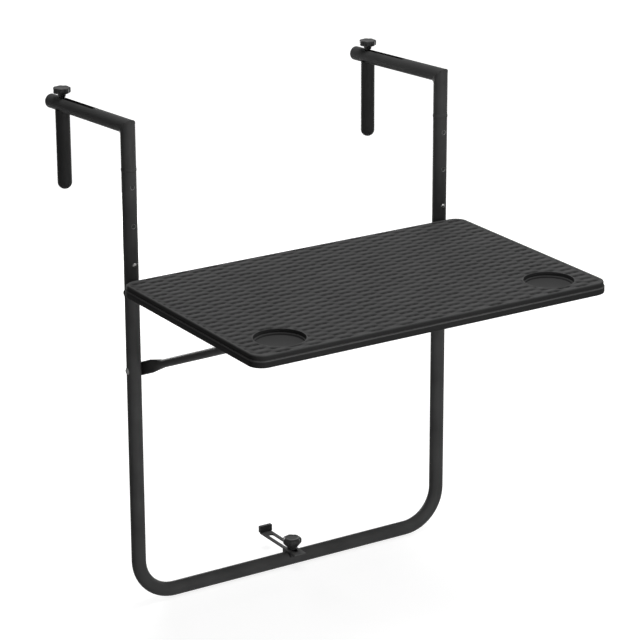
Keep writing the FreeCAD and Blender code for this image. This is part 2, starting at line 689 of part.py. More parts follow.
def make_brace():
    """Support brace: two arms and a cross tube, with both ends flattened round their rivets."""
    rise = V(0, -math.cos(BRACE_RISE), math.sin(BRACE_RISE))
    normal = V(0, math.sin(BRACE_RISE), math.cos(BRACE_RISE))
    start = BRACE_FLAT_LENGTH + BRACE_NECK_LENGTH
    corners = []
    for side, distance in ((-1, start), (-1, BRACE_LENGTH), (1, BRACE_LENGTH), (1, start)):
        corners.append(V(side * BRACE_X, 0, BRACE_PIVOT_Z).add(rise * distance))
    path = bent_path(corners, BRACE_BEND_R)
    brace = pipe(BRACE_R, path, rise)
    bore = pipe(BRACE_R - BRACE_WALL, path, rise)
    flats = []
    for side in (-1, 1):
        outward = V(side, 0, 0)
        pivot = V(side * (BRACKET_X - BRACE_FLAT_T / 2.0), 0, BRACE_PIVOT_Z)
        flat_end = pivot.add(rise * BRACE_FLAT_LENGTH)
        flat = flat_section(flat_end, outward, normal, BRACE_FLAT_W, BRACE_FLAT_T)
        tube_end = V(side * BRACE_X, 0, BRACE_PIVOT_Z).add(rise * start)
        circle = round_section(tube_end, outward, normal, BRACE_R)
        neck = Part.makeLoft([flat, circle], True, True)
        eye = rod(BRACE_FLAT_W / 2.0, V(side * BRACKET_X, 0, BRACE_PIVOT_Z),
                  V(side * (BRACKET_X - BRACE_FLAT_T), 0, BRACE_PIVOT_Z))
        plate = Part.Face(flat_section(pivot, outward, normal, BRACE_FLAT_W, BRACE_FLAT_T))
        plate = plate.extrude(rise * BRACE_FLAT_LENGTH)
        flats += [neck, eye, plate]
    brace = brace.cut(bore)
    for flat in flats:
        brace = brace.fuse(flat)
    for side in (-1, 1):
        hole = rod(RIVET_D / 2.0 + PIVOT_GAP, V(side * (BRACE_X - BRACE_D), 0, BRACE_PIVOT_Z),
                   V(side * LEG_X, 0, BRACE_PIVOT_Z))
        brace = brace.cut(hole)
    vent = V(0, -BRACE_REACH, BRACE_BAR_Z)
    return brace.cut(rod(BRACE_VENT_D / 2.0, vent, vent.sub(normal * BRACE_D))).removeSplitter()


def make_brace_rivets():
    """The two rivets of the brace, as separate solids."""
    outer = LEG_X + TUBE_R
    inner = BRACKET_X - BRACE_FLAT_T - SEAT_GAP
    rivets = []
    for side in (-1, 1):
        shank = rod(RIVET_D / 2.0, V(side * inner, 0, BRACE_PIVOT_Z), V(side * outer, 0, BRACE_PIVOT_Z))
        head = domed_head(RIVET_HEAD_D / 2.0, RIVET_HEAD_H, side * outer, BRACE_PIVOT_Z, side)
        tail = domed_head(RIVET_HEAD_D / 2.0, RIVET_HEAD_H, side * inner, BRACE_PIVOT_Z, -side)
        rivets.append(shank.fuse(head).fuse(tail))
    return Part.makeCompound(rivets)


def make_catch(side):
    """Moulded catch under the top: a saddle over the cross tube with a wall behind it."""
    centre = catch_centre(side)
    half_w = CATCH_W / 2.0
    seat_r = BRACE_R + SEAT_GAP
    back = centre.y + CATCH_DEPTH
    front = centre.y - seat_r - CATCH_LIP
    body = block(V(centre.x - half_w, front, centre.z + seat_r - CATCH_LIP),
                 V(centre.x + half_w, back, SKIN_Z))
    wall = block(V(centre.x - half_w, centre.y + seat_r, centre.z - BRACE_R / 2.0),
                 V(centre.x + half_w, centre.y + seat_r + CATCH_BACK_T, SKIN_Z))
    past = V(CATCH_W, 0, 0)
    catch = body.fuse(wall).cut(rod(seat_r, centre.sub(past), centre.add(past)))
    open_angle = math.radians(CATCH_OPEN_DEG)
    front_cut = block(V(centre.x - CATCH_W, front - CUT_PAST, centre.z - BRACE_D),
                      V(centre.x + CATCH_W, centre.y - seat_r * math.sin(open_angle), centre.z + seat_r))
    catch = catch.cut(front_cut)
    screw = V(centre.x, centre.y + CATCH_DEPTH / 2.0, centre.z)
    hole = Part.makeCylinder(CATCH_SCREW_D / 2.0 + SCREW_GAP, SKIN_Z - centre.z, screw)
    return catch.cut(hole).removeSplitter()


def make_catch_screws():
    """The two screws that hold the catches, as separate solids."""
    screws = []
    for side in (-1, 1):
        centre = catch_centre(side)
        seat = centre.z + BRACE_R + SEAT_GAP - CATCH_LIP
        place = V(centre.x, centre.y + CATCH_DEPTH / 2.0, 0)
        depth = SKIN_Z + SKIN_T / 2.0 - PLUG_GAP - seat
        screws.append(pan_screw(place, seat, depth, CATCH_SCREW_D, CATCH_SCREW_HEAD_D, CATCH_SCREW_HEAD_H))
    return Part.makeCompound(screws)


def make_spacer_strip():
    """Slotted strip with an upturned end."""
    half_t = STRIP_T / 2.0
    z = STRIP_Z + half_t
    points = [V(0, -STRIP_FRONT, z), V(0, STRIP_BACK - half_t, z), V(0, STRIP_BACK - half_t, z + STRIP_RISE)]
    strip = bent_strip(points, STRIP_T, STRIP_W / 2.0)
    slot = slot_solid(SLOT_W, -STRIP_SLOT_FRONT, STRIP_SLOT_BACK, STRIP_Z - STRIP_T, STRIP_Z + 2 * STRIP_T)
    return strip.cut(slot).removeSplitter()


def make_spacer_pad():
    """Block that caps the strip's upturned end and bears on the railing."""
    low_z = STRIP_Z
    half_w = PAD_W / 2.0
    pad = block(V(-half_w, PAD_BACK - PAD_T, low_z + STRIP_T + SEAT_GAP), V(half_w, PAD_BACK, low_z + PAD_H))
    edges = [e for e in pad.Edges if abs(e.tangentAt(e.FirstParameter).y) > 0.99]
    pad = pad.makeFillet(PAD_EDGE, edges)
    pocket_x = STRIP_W / 2.0 + PLUG_GAP
    pocket_z = low_z + STRIP_T / 2.0 + STRIP_RISE + PLUG_GAP
    pocket = block(V(-pocket_x, STRIP_BACK - STRIP_T - PLUG_GAP, low_z),
                   V(pocket_x, STRIP_BACK + PLUG_GAP, pocket_z))
    return pad.cut(pocket)


def make_saddle():
    """Plastic saddle between the bar and the strip."""
    low = BAR_TOP_Z - SADDLE_WRAP
    saddle = block(V(-SADDLE_W / 2.0, -SADDLE_L / 2.0, low), V(SADDLE_W / 2.0, SADDLE_L / 2.0, STRIP_Z))
    saddle = saddle.cut(rod(TUBE_R, V(-SADDLE_W, 0, BAR_Z), V(SADDLE_W, 0, BAR_Z)))
    return saddle.cut(Part.makeCylinder(BAR_INSERT_FLANGE_D / 2.0 + PLUG_GAP, TUBE_D, V(0, 0, BAR_Z)))


def make_bar_insert():
    """Threaded insert in the top wall of the bottom bar."""
    r = BAR_INSERT_D / 2.0
    insert = Part.makeCylinder(r, BAR_INSERT_L, V(0, 0, BAR_TOP_Z - BAR_INSERT_L))
    flange = Part.makeCylinder(BAR_INSERT_FLANGE_D / 2.0, BAR_INSERT_FLANGE_H, V(0, 0, BAR_TOP_Z))
    bore = Part.makeCylinder(SCREW_D / 2.0 + SCREW_GAP, 2 * BAR_INSERT_L, V(0, 0, BAR_TOP_Z - BAR_INSERT_L))
    return insert.fuse(flange).cut(bore).removeSplitter()


def spacer_knob_foot():
    """Height of the spacer knob's neck, just clear of the strip."""
    return STRIP_Z + STRIP_T + SEAT_GAP


def make_spacer_knob():
    """Knob that clamps the strip to the bar."""
    radius = SPACER_KNOB_D / 2.0
    head = knob_head(radius, SPACER_KNOB_H, SPACER_KNOB_TAPER_IN, SPACER_KNOB_TAPER_H, SPACER_KNOB_SHOULDER)
    knob = lobed_knob(head, radius, SPACER_KNOB_NECK_D, SPACER_KNOB_NECK_H)
    return moved(knob, 0, 0, spacer_knob_foot())


def make_spacer_screw():
    """Steel stud from the knob through the slot into the bar's insert."""
    low = BAR_TOP_Z - SCREW_IN_INSERT
    high = spacer_knob_foot() + SCREW_IN_KNOB
    return rod(SCREW_D / 2.0, V(0, 0, low), V(0, 0, high))


def all_pieces():
    """Every piece of the table by its node name."""
    pieces = {
        "u_frame": make_frame(),
        "tabletop": make_top(),
        "bracket_screws": make_bracket_screws(),
        "pivot_bolts": make_pivot_bolts(),
        "pivot_nuts": make_pivot_nuts(),
        "pivot_washers": washer_pair(PIVOT_Z, PIVOT_D),
        "brace": make_brace(),
        "brace_rivets": make_brace_rivets(),
        "brace_washers": washer_pair(BRACE_PIVOT_Z, RIVET_D),
        "catch_screws": make_catch_screws(),
        "spacer_strip": make_spacer_strip(),
        "spacer_pad": make_spacer_pad(),
        "spacer_saddle": make_saddle(),
        "spacer_knob": make_spacer_knob(),
        "spacer_screw": make_spacer_screw(),
        "bar_insert": make_bar_insert(),
    }
    makers = {
        "hook_tube": make_hook,
        "arm_plug": make_arm_plug,
        "snap_button": make_button,
        "button_spring": make_button_spring,
        "finger_tube": make_finger,
        "finger_tip": make_finger_tip,
        "finger_insert": make_finger_insert,
        "finger_knob": make_finger_knob,
        "finger_screw": make_finger_screw,
        "hinge_bracket": make_bracket,
        "brace_catch": make_catch,
    }
    for side in (-1, 1):
        for name, maker in makers.items():
            pieces[sided(side) + "_" + name] = maker(side)
    return pieces


def main():
    """Write each piece to its own STEP file."""
    os.makedirs("parts", exist_ok=True)
    for name, shape in all_pieces().items():
        if not shape.isValid():
            raise ValueError(name + " isn't a valid shape")
        shape.exportStep(os.path.join("parts", name + ".step"))
        print(name, len(shape.Solids), "solid(s), volume", round(shape.Volume, 1))
    print("brace rise", round(math.degrees(BRACE_RISE), 3), "length", round(BRACE_LENGTH, 2))
    print("finger", finger_place().y, finger_place().z, "knob foot", finger_knob_foot())


main()
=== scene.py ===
"""Looks of a hanging balcony table, laid out as an add-on and run as a script.

Sizes are in metres in the part's own frame: +X to the right of the person at the table, -Y towards that
person, +Z up, with the origin on top of the railing, midway between the hooks.
"""
import json
import math

import bmesh
import bpy
import numpy as np
from bpy.props import FloatProperty, FloatVectorProperty, IntProperty, PointerProperty
from mathutils import Matrix, Vector
from mathutils.geometry import tessellate_polygon

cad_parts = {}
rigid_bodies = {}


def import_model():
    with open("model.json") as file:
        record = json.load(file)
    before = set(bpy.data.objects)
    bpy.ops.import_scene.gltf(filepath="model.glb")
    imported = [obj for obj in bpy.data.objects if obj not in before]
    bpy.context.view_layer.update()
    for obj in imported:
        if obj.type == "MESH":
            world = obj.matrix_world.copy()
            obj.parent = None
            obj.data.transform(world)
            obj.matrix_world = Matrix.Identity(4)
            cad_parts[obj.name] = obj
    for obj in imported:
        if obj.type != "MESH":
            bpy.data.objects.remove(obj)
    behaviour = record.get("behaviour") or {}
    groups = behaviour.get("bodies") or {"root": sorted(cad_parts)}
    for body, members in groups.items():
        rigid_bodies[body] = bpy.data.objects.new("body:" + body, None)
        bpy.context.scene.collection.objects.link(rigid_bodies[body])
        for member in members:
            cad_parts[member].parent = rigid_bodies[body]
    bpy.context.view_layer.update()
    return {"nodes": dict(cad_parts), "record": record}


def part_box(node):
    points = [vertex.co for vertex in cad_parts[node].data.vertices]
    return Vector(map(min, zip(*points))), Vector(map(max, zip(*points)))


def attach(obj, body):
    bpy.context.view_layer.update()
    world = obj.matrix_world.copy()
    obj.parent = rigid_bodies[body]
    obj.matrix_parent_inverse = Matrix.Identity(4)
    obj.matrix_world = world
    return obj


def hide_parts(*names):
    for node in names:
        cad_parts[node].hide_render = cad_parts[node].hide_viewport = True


bl_info = {
    "name": "Balcony table looks",
    "version": (1, 0, 0),
    "blender": (4, 5, 0),
    "location": "View3D > Sidebar > Balcony table",
    "description": "Builds the woven-look top, the knobs and the finishes of a hanging balcony table",
    "category": "Object",
}

for leftover in list(bpy.data.objects):
    bpy.data.objects.remove(leftover)
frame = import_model()
MM = 0.001
WHITE = (1.0, 1.0, 1.0, 1.0)


def linear(code):
    """Linear RGBA of an sRGB hex colour."""
    parts = [int(code[i:i + 2], 16) / 255.0 for i in (1, 3, 5)]
    bent = [c / 12.92 if c <= 0.04045 else ((c + 0.055) / 1.055) ** 2.4 for c in parts]
    return (*bent, 1.0)


def length(name, about, value):
    """A length that a user can set, in metres."""
    return FloatProperty(name=name, description=about, default=value, unit="LENGTH", precision=4)


def fraction(name, about, value):
    """A share of something that a user can set, from 0 to 1."""
    return FloatProperty(name=name, description=about, default=value, subtype="FACTOR", min=0.0, max=1.0)


def angle(name, about, degrees):
    """An angle that a user can set, kept in radians."""
    return FloatProperty(name=name, description=about, default=math.radians(degrees), subtype="ANGLE")


def number(name, about, value):
    """A whole number that a user can set."""
    return IntProperty(name=name, description=about, default=value, min=1)


def colour(name, about, code):
    """A colour that a user can set."""
    return FloatVectorProperty(name=name, description=about, default=linear(code), size=4,
                               subtype="COLOR", min=0.0, max=1.0)


class TopLooks(bpy.types.PropertyGroup):
    """Sizes and colours of the moulded top."""
    column: length("Column", "Distance between the stakes of the relief", 25.24 * MM)
    strand: length("Strand", "Distance between the strands of the relief", 7.9 * MM)
    column_cells: number("Cells in a column", "Mesh cells across a column", 9)
    strand_cells: number("Cells in a strand", "Mesh cells across a strand", 7)
    border: length("Border", "Plain border between the relief and the edge", 4.4 * MM)
    sag: length("Sag", "Drop of a strand from its crown to half way down", 0.25 * MM)
    pit: length("Pit", "Steep drop of a strand where it dives under a stake", 0.95 * MM)
    stake: length("Stake depth", "Depth of a stake's crown below the strands' crowns", 0.85 * MM)
    stake_half: length("Stake half width", "Half of a stake's width", 3.0 * MM)
    vary: fraction("Variation", "Share by which the pits differ, as in real cane", 0.25)
    # Shares of the painted shade colour: painted shade in the pits and saddles, on the plain walls,
    # underneath and in the cups
    sag_shade: fraction("Sag shade", "Share of the recess colour half way down", 0.42)
    pit_shade: fraction("Pit shade", "Share of the recess colour in the pits", 0.88)
    plain_shade: fraction("Plain shade", "Share of the recess colour on plain walls", 1.0)
    under_shade: fraction("Under shade", "Share of the recess colour underneath", 0.45)
    cup_shade: fraction("Cup shade", "Share of the recess colour on the cups' floors", 0.5)
    wall_shade: fraction("Wall shade", "Share of the recess colour on the cups' walls", 0.75)
    # The ledges' share is lower than the walls', so it paints a highlight band on the ledges and the cups'
    # steps
    ledge_shade: fraction("Ledge shade", "Share of the recess colour on the ledges", 0.35)
    colour: colour("Plastic", "Colour of the moulded plastic", "#4b4b4b")
    # Painted shade: a darker colour that stands in for the shade in the recesses, on the walls and
    # underneath
    painted_shade: colour("Plastic in the recesses", "Colour between the strands", "#202020")


class FrameLooks(bpy.types.PropertyGroup):
    """Colours of the tubes, knobs and fasteners."""
    powder: colour("Powder coat", "Colour of the coated tubes", "#3a3a3a")
    finger: colour("Finger coat", "Colour of the coat on the fingers and of their tips", "#2e2e2e")
    black: colour("Black plastic", "Colour of the plugs, the pad, the catches and the washers", "#202020")
    strip: colour("Strip plastic", "Colour of the spacer's strip", "#484848")
    knob: colour("Knob plastic", "Colour of the clamping knobs", "#262626")
    zinc: colour("Zinc plate", "Colour of rivets, nuts and screws", "#6e6e6d")
    nickel: colour("Button steel", "Colour of the snap buttons", "#7e7e7d")
    # Painted highlight: a light colour on the holes' inner walls that stands in for the light they catch
    edge: colour("Bare edge", "Colour of the holes' edges, where the coat is thin", "#8a8a8a")
    blackened: colour("Blackened steel", "Colour of pivot bolts, studs and the bar's insert", "#2a2a2a")
    spring: colour("Spring steel", "Colour of the buttons' springs", "#6f6f6f")
    lobes: number("Lobes", "Lobes round a knob's head", 7)
    lobe_depth: length("Lobe depth", "Depth of the hollows between a knob's lobes", 1.5 * MM)
    weld_inner: length("Weld fillet", "Reach of the weld in a hook's inner corner", 6.5 * MM)
    weld_side: length("Weld bead", "Reach of the weld round the rest of a mitre", 1.3 * MM)
    rim_h: length("Rim height", "Height of the rounded rim at a leg's upper end", 5.0 * MM)
    rim_out: length("Rim", "How far the rim stands out from the leg", 0.5 * MM)
    # The ring that carries the painted highlight in each button hole
    hole_rim: length("Hole edge", "Half the thickness of the bare edge in each button hole", 0.12 * MM)


class StageLooks(bpy.types.PropertyGroup):
    """Camera, floor and soft light."""
    azimuth: angle("Azimuth", "Camera's turn about Z", -32.4)
    elevation: angle("Elevation", "Camera's height angle", 19.26)
    roll: angle("Roll", "Camera's turn about its own axis", -0.16)
    distance: length("Distance", "From the camera to the plane of its aim point", 4.409)
    aim_right: length("Aim right", "Aim point from the middle of the bottom bar, to the right", 43.5 * MM)
    aim_up: length("Aim up", "Aim point from the middle of the bottom bar, up the picture", 370.5 * MM)
    lens: FloatProperty(name="Lens", description="Focal length in millimetres, on a 36 mm sensor",
                        default=158.6)
    floor: colour("Floor", "Colour of the floor", "#a2a2a2")
    floor_glow: fraction("Floor glow", "White added to the floor round the table", 0.82)
    ambient: fraction("Ambient", "Strength of the soft light all round", 0.1)


def add(tree, kind, settings=None, links=None):
    """Adds one node, with its attributes or input values and its incoming links, and returns it."""
    node = tree.nodes.new(kind)
    for key, value in (settings or {}).items():
        if isinstance(key, int) or key in node.inputs:
            node.inputs[key].default_value = value
        else:
            setattr(node, key, value)
    for key, source in (links or {}).items():
        tree.links.new(source, node.inputs[key])
    return node


def new_material(name):
    """An empty node material with its shader and the object's own coordinates."""
    material = bpy.data.materials.new(name)
    material.use_nodes = True
    tree = material.node_tree
    tree.nodes.clear()
    shader = add(tree, "ShaderNodeBsdfPrincipled")
    add(tree, "ShaderNodeOutputMaterial", links={"Surface": shader.outputs[0]})
    place = add(tree, "ShaderNodeTexCoord").outputs["Object"]
    return material, tree, shader, place


def set_stops(ramp, base, darker, lighter):
    """Sets a colour ramp to two shares of a base colour, with the change in its middle part."""
    for stop, share, place in zip(ramp.color_ramp.elements, (darker, lighter), (0.3, 0.7)):
        stop.color = [c * share for c in base[:3]] + [1.0]
        stop.position = place


def uneven_finish(name, base, tint, blotch, rough, grit, detail=3.0):
    """A material whose colour varies in broad blotches and whose roughness varies in a fine grit.

    tint and rough are the ends of the two ranges. blotch and grit are the sizes of the two patterns
    in metres. It returns the grit's noise too, so that a bump can follow it.
    """
    material, tree, shader, place = new_material(name)
    broad = add(tree, "ShaderNodeTexNoise", {"Scale": 1.0 / blotch, "Detail": 2.0}, {"Vector": place})
    fine = add(tree, "ShaderNodeTexNoise", {"Scale": 1.0 / grit, "Detail": detail}, {"Vector": place})
    ramp = add(tree, "ShaderNodeValToRGB", links={"Fac": broad.outputs[0]})
    set_stops(ramp, base, *tint)
    spread = add(tree, "ShaderNodeMapRange", {"To Min": rough[0], "To Max": rough[1]},
                 {"Value": fine.outputs[0]})
    tree.links.new(ramp.outputs[0], shader.inputs["Base Color"])
    tree.links.new(spread.outputs[0], shader.inputs["Roughness"])
    return material, tree, shader, fine


def powder_coat(name, base):
    """Black polyester powder coat on steel: satin, with the fine orange peel of a baked powder."""
    peel = 1.6 * MM  # real peel is about 0.5 mm, too fine to show at this distance
    peel_height = 0.12 * MM
    material, tree, shader, fine = uneven_finish(name, base, tint=(0.88, 1.12), blotch=45.0 * MM,
                                                 rough=(0.38, 0.56), grit=peel)
    bump = add(tree, "ShaderNodeBump", {"Strength": 0.35, "Distance": peel_height},
               {"Height": fine.outputs[0]})
    tree.links.new(bump.outputs[0], shader.inputs["Normal"])
    shader.inputs["IOR"].default_value = 1.5
    # low, because the white surroundings would veil the black where it is seen at a grazing angle
    shader.inputs["Specular IOR Level"].default_value = 0.02
    return material


def moulded_plastic(name, base, grit, rough, grit_height):
    """Moulded ABS or nylon: an eroded tool surface that scatters a soft highlight.

    The real grit is a few tenths of a millimetre at most, so it is drawn coarser to show.
    """
    material, tree, shader, fine = uneven_finish(name, base, tint=(0.9, 1.1), blotch=30.0 * MM,
                                                 rough=(rough - 0.06, rough + 0.08), grit=grit)
    bump = add(tree, "ShaderNodeBump", {"Strength": 0.4, "Distance": grit_height},
               {"Height": fine.outputs[0]})
    tree.links.new(bump.outputs[0], shader.inputs["Normal"])
    shader.inputs["IOR"].default_value = 1.49
    shader.inputs["Specular IOR Level"].default_value = 0.12
    return material


def woven_plastic(looks):
    """Moulded polypropylene with a woven relief and fine cane lines, with painted shade mixed in by the
    relief attribute.
    """
    material, tree, shader, place = new_material("moulded_polypropylene_woven")
    cane_line = 1.3 * MM
    grit = 1.1 * MM  # the real grit is too fine to show
    blotch = 60.0 * MM
    line_height = 0.15 * MM
    along_strand = (0.08, 1.0, 1.0)  # draws the noise out to lines along X
    drawn = add(tree, "ShaderNodeMapping", {"Scale": along_strand}, {"Vector": place})
    lines = add(tree, "ShaderNodeTexNoise", {"Scale": 1.0 / cane_line, "Detail": 1.0},
                {"Vector": drawn.outputs[0]})
    fine = add(tree, "ShaderNodeTexNoise", {"Scale": 1.0 / grit, "Detail": 2.0}, {"Vector": place})
    broad = add(tree, "ShaderNodeTexNoise", {"Scale": 1.0 / blotch, "Detail": 2.0}, {"Vector": place})
    # The relief attribute holds the share of painted shade at each point
    depth = add(tree, "ShaderNodeAttribute", {"attribute_name": "relief"})
    mixed = add(tree, "ShaderNodeMix", {"data_type": "RGBA"}, {0: depth.outputs["Fac"]})
    for socket, base in ((6, looks.colour), (7, looks.painted_shade)):
        ramp = add(tree, "ShaderNodeValToRGB", links={"Fac": broad.outputs[0]})
        set_stops(ramp, base, 0.94, 1.06)
        tree.links.new(ramp.outputs[0], mixed.inputs[socket])
    tree.links.new(mixed.outputs[2], shader.inputs["Base Color"])
    both = add(tree, "ShaderNodeMath", {"operation": "ADD"}, {0: lines.outputs[0], 1: fine.outputs[0]})
    bump = add(tree, "ShaderNodeBump", {"Strength": 0.3, "Distance": line_height},
               {"Height": both.outputs[0]})
    tree.links.new(bump.outputs[0], shader.inputs["Normal"])
    rough = add(tree, "ShaderNodeMapRange", {"To Min": 0.44, "To Max": 0.6}, {"Value": fine.outputs[0]})
    tree.links.new(rough.outputs[0], shader.inputs["Roughness"])
    shader.inputs["IOR"].default_value = 1.49
    shader.inputs["Specular IOR Level"].default_value = 0.01
    return material


def plated_steel(name, base, rough):
    """Plated or blackened steel: metallic, with faint turning marks and dark outlines."""
    marks = 0.8 * MM  # real turning marks are too fine to show
    material, _, shader, _ = uneven_finish(name, base, tint=(0.85, 1.0), blotch=6.0 * MM,
                                           rough=(rough - 0.06, rough + 0.1), grit=marks, detail=2.0)
    shader.inputs["Metallic"].default_value = 1.0
    # the tint darkens the metal where it is seen at a grazing angle, as round a domed head
    shader.inputs["Specular Tint"].default_value = (0.08, 0.08, 0.08, 1.0)
    return material


MATERIALS = {}


def make_materials(scene):
    """Every finish of the table, by its slot in the record or by a name of this file's own.

    The plastics have their grit, roughness and height of the grit, and the metals their roughness.
    """
    looks = scene.frame_looks
    MATERIALS["moulded_top"] = woven_plastic(scene.top_looks)
    # The last coat is a light one, a painted highlight for the button holes' inner walls
    for slot, name, base in (("powder_coated_steel", "powder_coat_black_steel", looks.powder),
                             ("finger_coat", "powder_coat_matt_finger", looks.finger),
                             ("painted_highlight_edge", "powder_coat_painted_highlight", looks.edge)):
        MATERIALS[slot] = powder_coat(name, base)
    for slot, name, base, grit, rough, grit_height in (
            ("black_plastic", "moulded_abs_black", looks.black, 1.4 * MM, 0.5, 0.1 * MM),
            ("strip_plastic", "moulded_abs_strip", looks.strip, 1.4 * MM, 0.55, 0.1 * MM),
            ("knob_plastic", "moulded_nylon_knob", looks.knob, 1.2 * MM, 0.42, 0.08 * MM),
            ("washer_nylon", "moulded_nylon_washer", looks.black, 1.0 * MM, 0.4, 0.05 * MM)):
        MATERIALS[slot] = moulded_plastic(name, base, grit, rough, grit_height)
    for slot, name, base, rough in (("zinc_plated_steel", "zinc_plated_steel", looks.zinc, 0.32),
                                    ("bright_steel", "nickel_plated_button", looks.nickel, 0.2),
                                    ("spring_steel", "oiled_spring_steel", looks.spring, 0.3),
                                    ("blackened_steel", "blackened_steel_stud", looks.blackened, 0.45)):
        MATERIALS[slot] = plated_steel(name, base, rough)


def mesh_object(name, points, faces):
    """Object at the origin with a smooth mesh, its points in the part's own frame."""
    mesh = bpy.data.meshes.new(name)
    mesh.from_pydata(np.asarray(points, float).tolist(), [], faces)
    mesh.update()
    mesh.polygons.foreach_set("use_smooth", np.ones(len(mesh.polygons), bool))
    piece = bpy.data.objects.new(name, mesh)
    bpy.context.scene.collection.objects.link(piece)
    return piece


def dress(piece, body, slot, *nodes, finish=None):
    """Gives a piece its finish, which is the slot's or one of its own, and lets it stand for CAD nodes."""
    piece.data.materials.append(MATERIALS[finish or slot])
    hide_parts(*nodes)
    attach(piece, body)
    return piece


def quads(rows, columns, close_rows=False, close_columns=False):
    """Faces of a grid whose points are numbered row by row."""
    r = np.arange(rows if close_rows else rows - 1)
    c = np.arange(columns if close_columns else columns - 1)
    rr, cc = np.meshgrid(r, c, indexing="ij")
    r2 = (rr + 1) % rows
    c2 = (cc + 1) % columns
    corners = [rr * columns + cc, rr * columns + c2, r2 * columns + c2, r2 * columns + cc]
    return np.stack(corners, -1).reshape(-1, 4)


def once_round(steps):
    """Angles once round in equal steps, without the last, which is the first again."""
    return np.linspace(0, 2 * np.pi, steps, endpoint=False)


def smooth_step(value):
    """Eases from 0 to 1 as value goes from 0 to 1: three times its square less twice its cube."""
    t = np.clip(value, 0.0, 1.0)
    return t * t * (3.0 - 2.0 * t)


# Sizes that the CAD nodes have too and that can't be read from their boxes: tubes and button holes
TUBE_R = 11.0 * MM
ARM_DROOP = math.radians(3.5)
LEG_WALL = 1.2 * MM
HOLE_R = 3.6 * MM
HOLE_PITCH = 58.5 * MM
HOLE_COUNT = 3
LEG_PAST_HOLES = 27.5 * MM

# The same for the top: its outline, skirt, cups, notches for the legs, ribs and bosses
TOP_CORNER_R = 22.0 * MM
TOP_EDGE_R = 2.5 * MM
LEDGE_DROP = 7.5 * MM
LEDGE_OUT = 1.6 * MM
SKIN_T = 3.6 * MM
SKIRT_T = 2.6 * MM
CUP_R = 36.75 * MM
CUP_DEPTH = 9.0 * MM
CUP_WALL = 2.4 * MM
CUP_FROM_SIDE = 71.0 * MM
CUP_FROM_FRONT = 55.0 * MM
NOTCH_HALF = 16.0 * MM
NOTCH_H = 7.5 * MM
LEG_INSET = 28.0 * MM
RIB_T = 2.2 * MM
RIB_H = 6.0 * MM
RIBS_ACROSS = 5
RIBS_ALONG = 3
BOSS_R = 4.5 * MM
BOSS_H = 3.0 * MM
BOSS_X = 250.0 * MM
BOSS_YS = (-56.0 * MM, -34.0 * MM)

# Finer forms of the top: small roundings, and the step and the floor's bevel in a cup
SMALL_R = 0.7 * MM
LEDGE_R = 1.0 * MM
FOOT_R = 1.8 * MM
CUP_STEP = 1.8 * MM
CUP_STEP_DROP = 5.8 * MM
CUP_BEVEL = 0.3 * MM

# The flat of the top and the form of its relief
TOP_INSET = LEDGE_OUT + TOP_EDGE_R  # from the outline in to the flat
BORDER_FADE = 1.5 * MM  # length over which the relief fades in from its border
CUP_FADE = 1.6 * MM  # the same from a cup's rim
PIT_START = 0.02  # how far past 0 the chessboard's wave is where a pit's steep drop starts
PIT_SPREAD = 0.5  # how much of the wave the drop takes
STAKE_ROUND = 0.4  # how much deeper a stake lies at its half width, as a share of its depth

# The table of chances that the pits repeat, in columns and strands
CHANCE_SEED = 5
CHANCE_TABLE = (40, 70)

# Mesh of the top: reach and rings of the patch round a cup, and sides of a cup's shell and of a boss
PATCH_REACH = CUP_R + 5.0 * MM
PATCH_RINGS = 6
CUP_SIDES = 48
BOSS_SIDES = 24

# Where the painted shade on the top changes
PLAIN_DEPTH = 2.2 * MM  # no pit is as deep as this
CUP_RIM_DEPTH = 1.5 * MM  # below a cup's rounded rim
UNDER_FROM = LEDGE_OUT + 0.7 * SKIRT_T  # from the outline in to where the underside starts
LEDGE_UP_TO = 1.1 * LEDGE_OUT  # from the outline in to where the ledge ends
FLOOR_FROM = CUP_STEP + 0.1 * MM  # from a cup's wall in to where its floor starts
BAND_HALF = 0.6  # half height of the band on a ledge or a step, as a share of its rounding

# Points closer than the gap are one point, and edges sharper than the angle stay sharp
WELD_GAP = 0.02 * MM
SHARP = math.radians(48)


def corner_warp(u, v):
    """Bends a unit square onto a quarter disc.

    Each coordinate is multiplied by the root of 1 less half the other's square.
    """
    return u * np.sqrt(1.0 - v * v / 2.0), v * np.sqrt(1.0 - u * u / 2.0)


def rounded_grid(xs, ys, radius):
    """Points in plan of a rectangle centred on the origin whose corners are bent to arcs."""
    gx, gy = np.meshgrid(xs, ys, indexing="ij")
    cx, cy = xs[-1] - radius, ys[-1] - radius
    u = (np.abs(gx) - cx) / radius
    v = (np.abs(gy) - cy) / radius
    corner = (u > 0) & (v > 0)
    wu, wv = corner_warp(np.where(corner, u, 0.0), np.where(corner, v, 0.0))
    gx = np.where(corner, np.sign(gx) * (cx + wu * radius), gx)
    gy = np.where(corner, np.sign(gy) * (cy + wv * radius), gy)
    return np.stack([gx, gy], -1)


def edge_distance(x, y, half_x, half_y):
    """Distance outside a rectangle centred on the origin with the top's corner radius, negative inside.

    It is the distance outside the smaller rectangle through the corners' centres, less the radius.
    """
    qx = np.abs(x) - (half_x - TOP_CORNER_R)
    qy = np.abs(y) - (half_y - TOP_CORNER_R)
    corner = np.hypot(np.maximum(qx, 0), np.maximum(qy, 0))
    return corner + np.minimum(np.maximum(qx, qy), 0) - TOP_CORNER_R


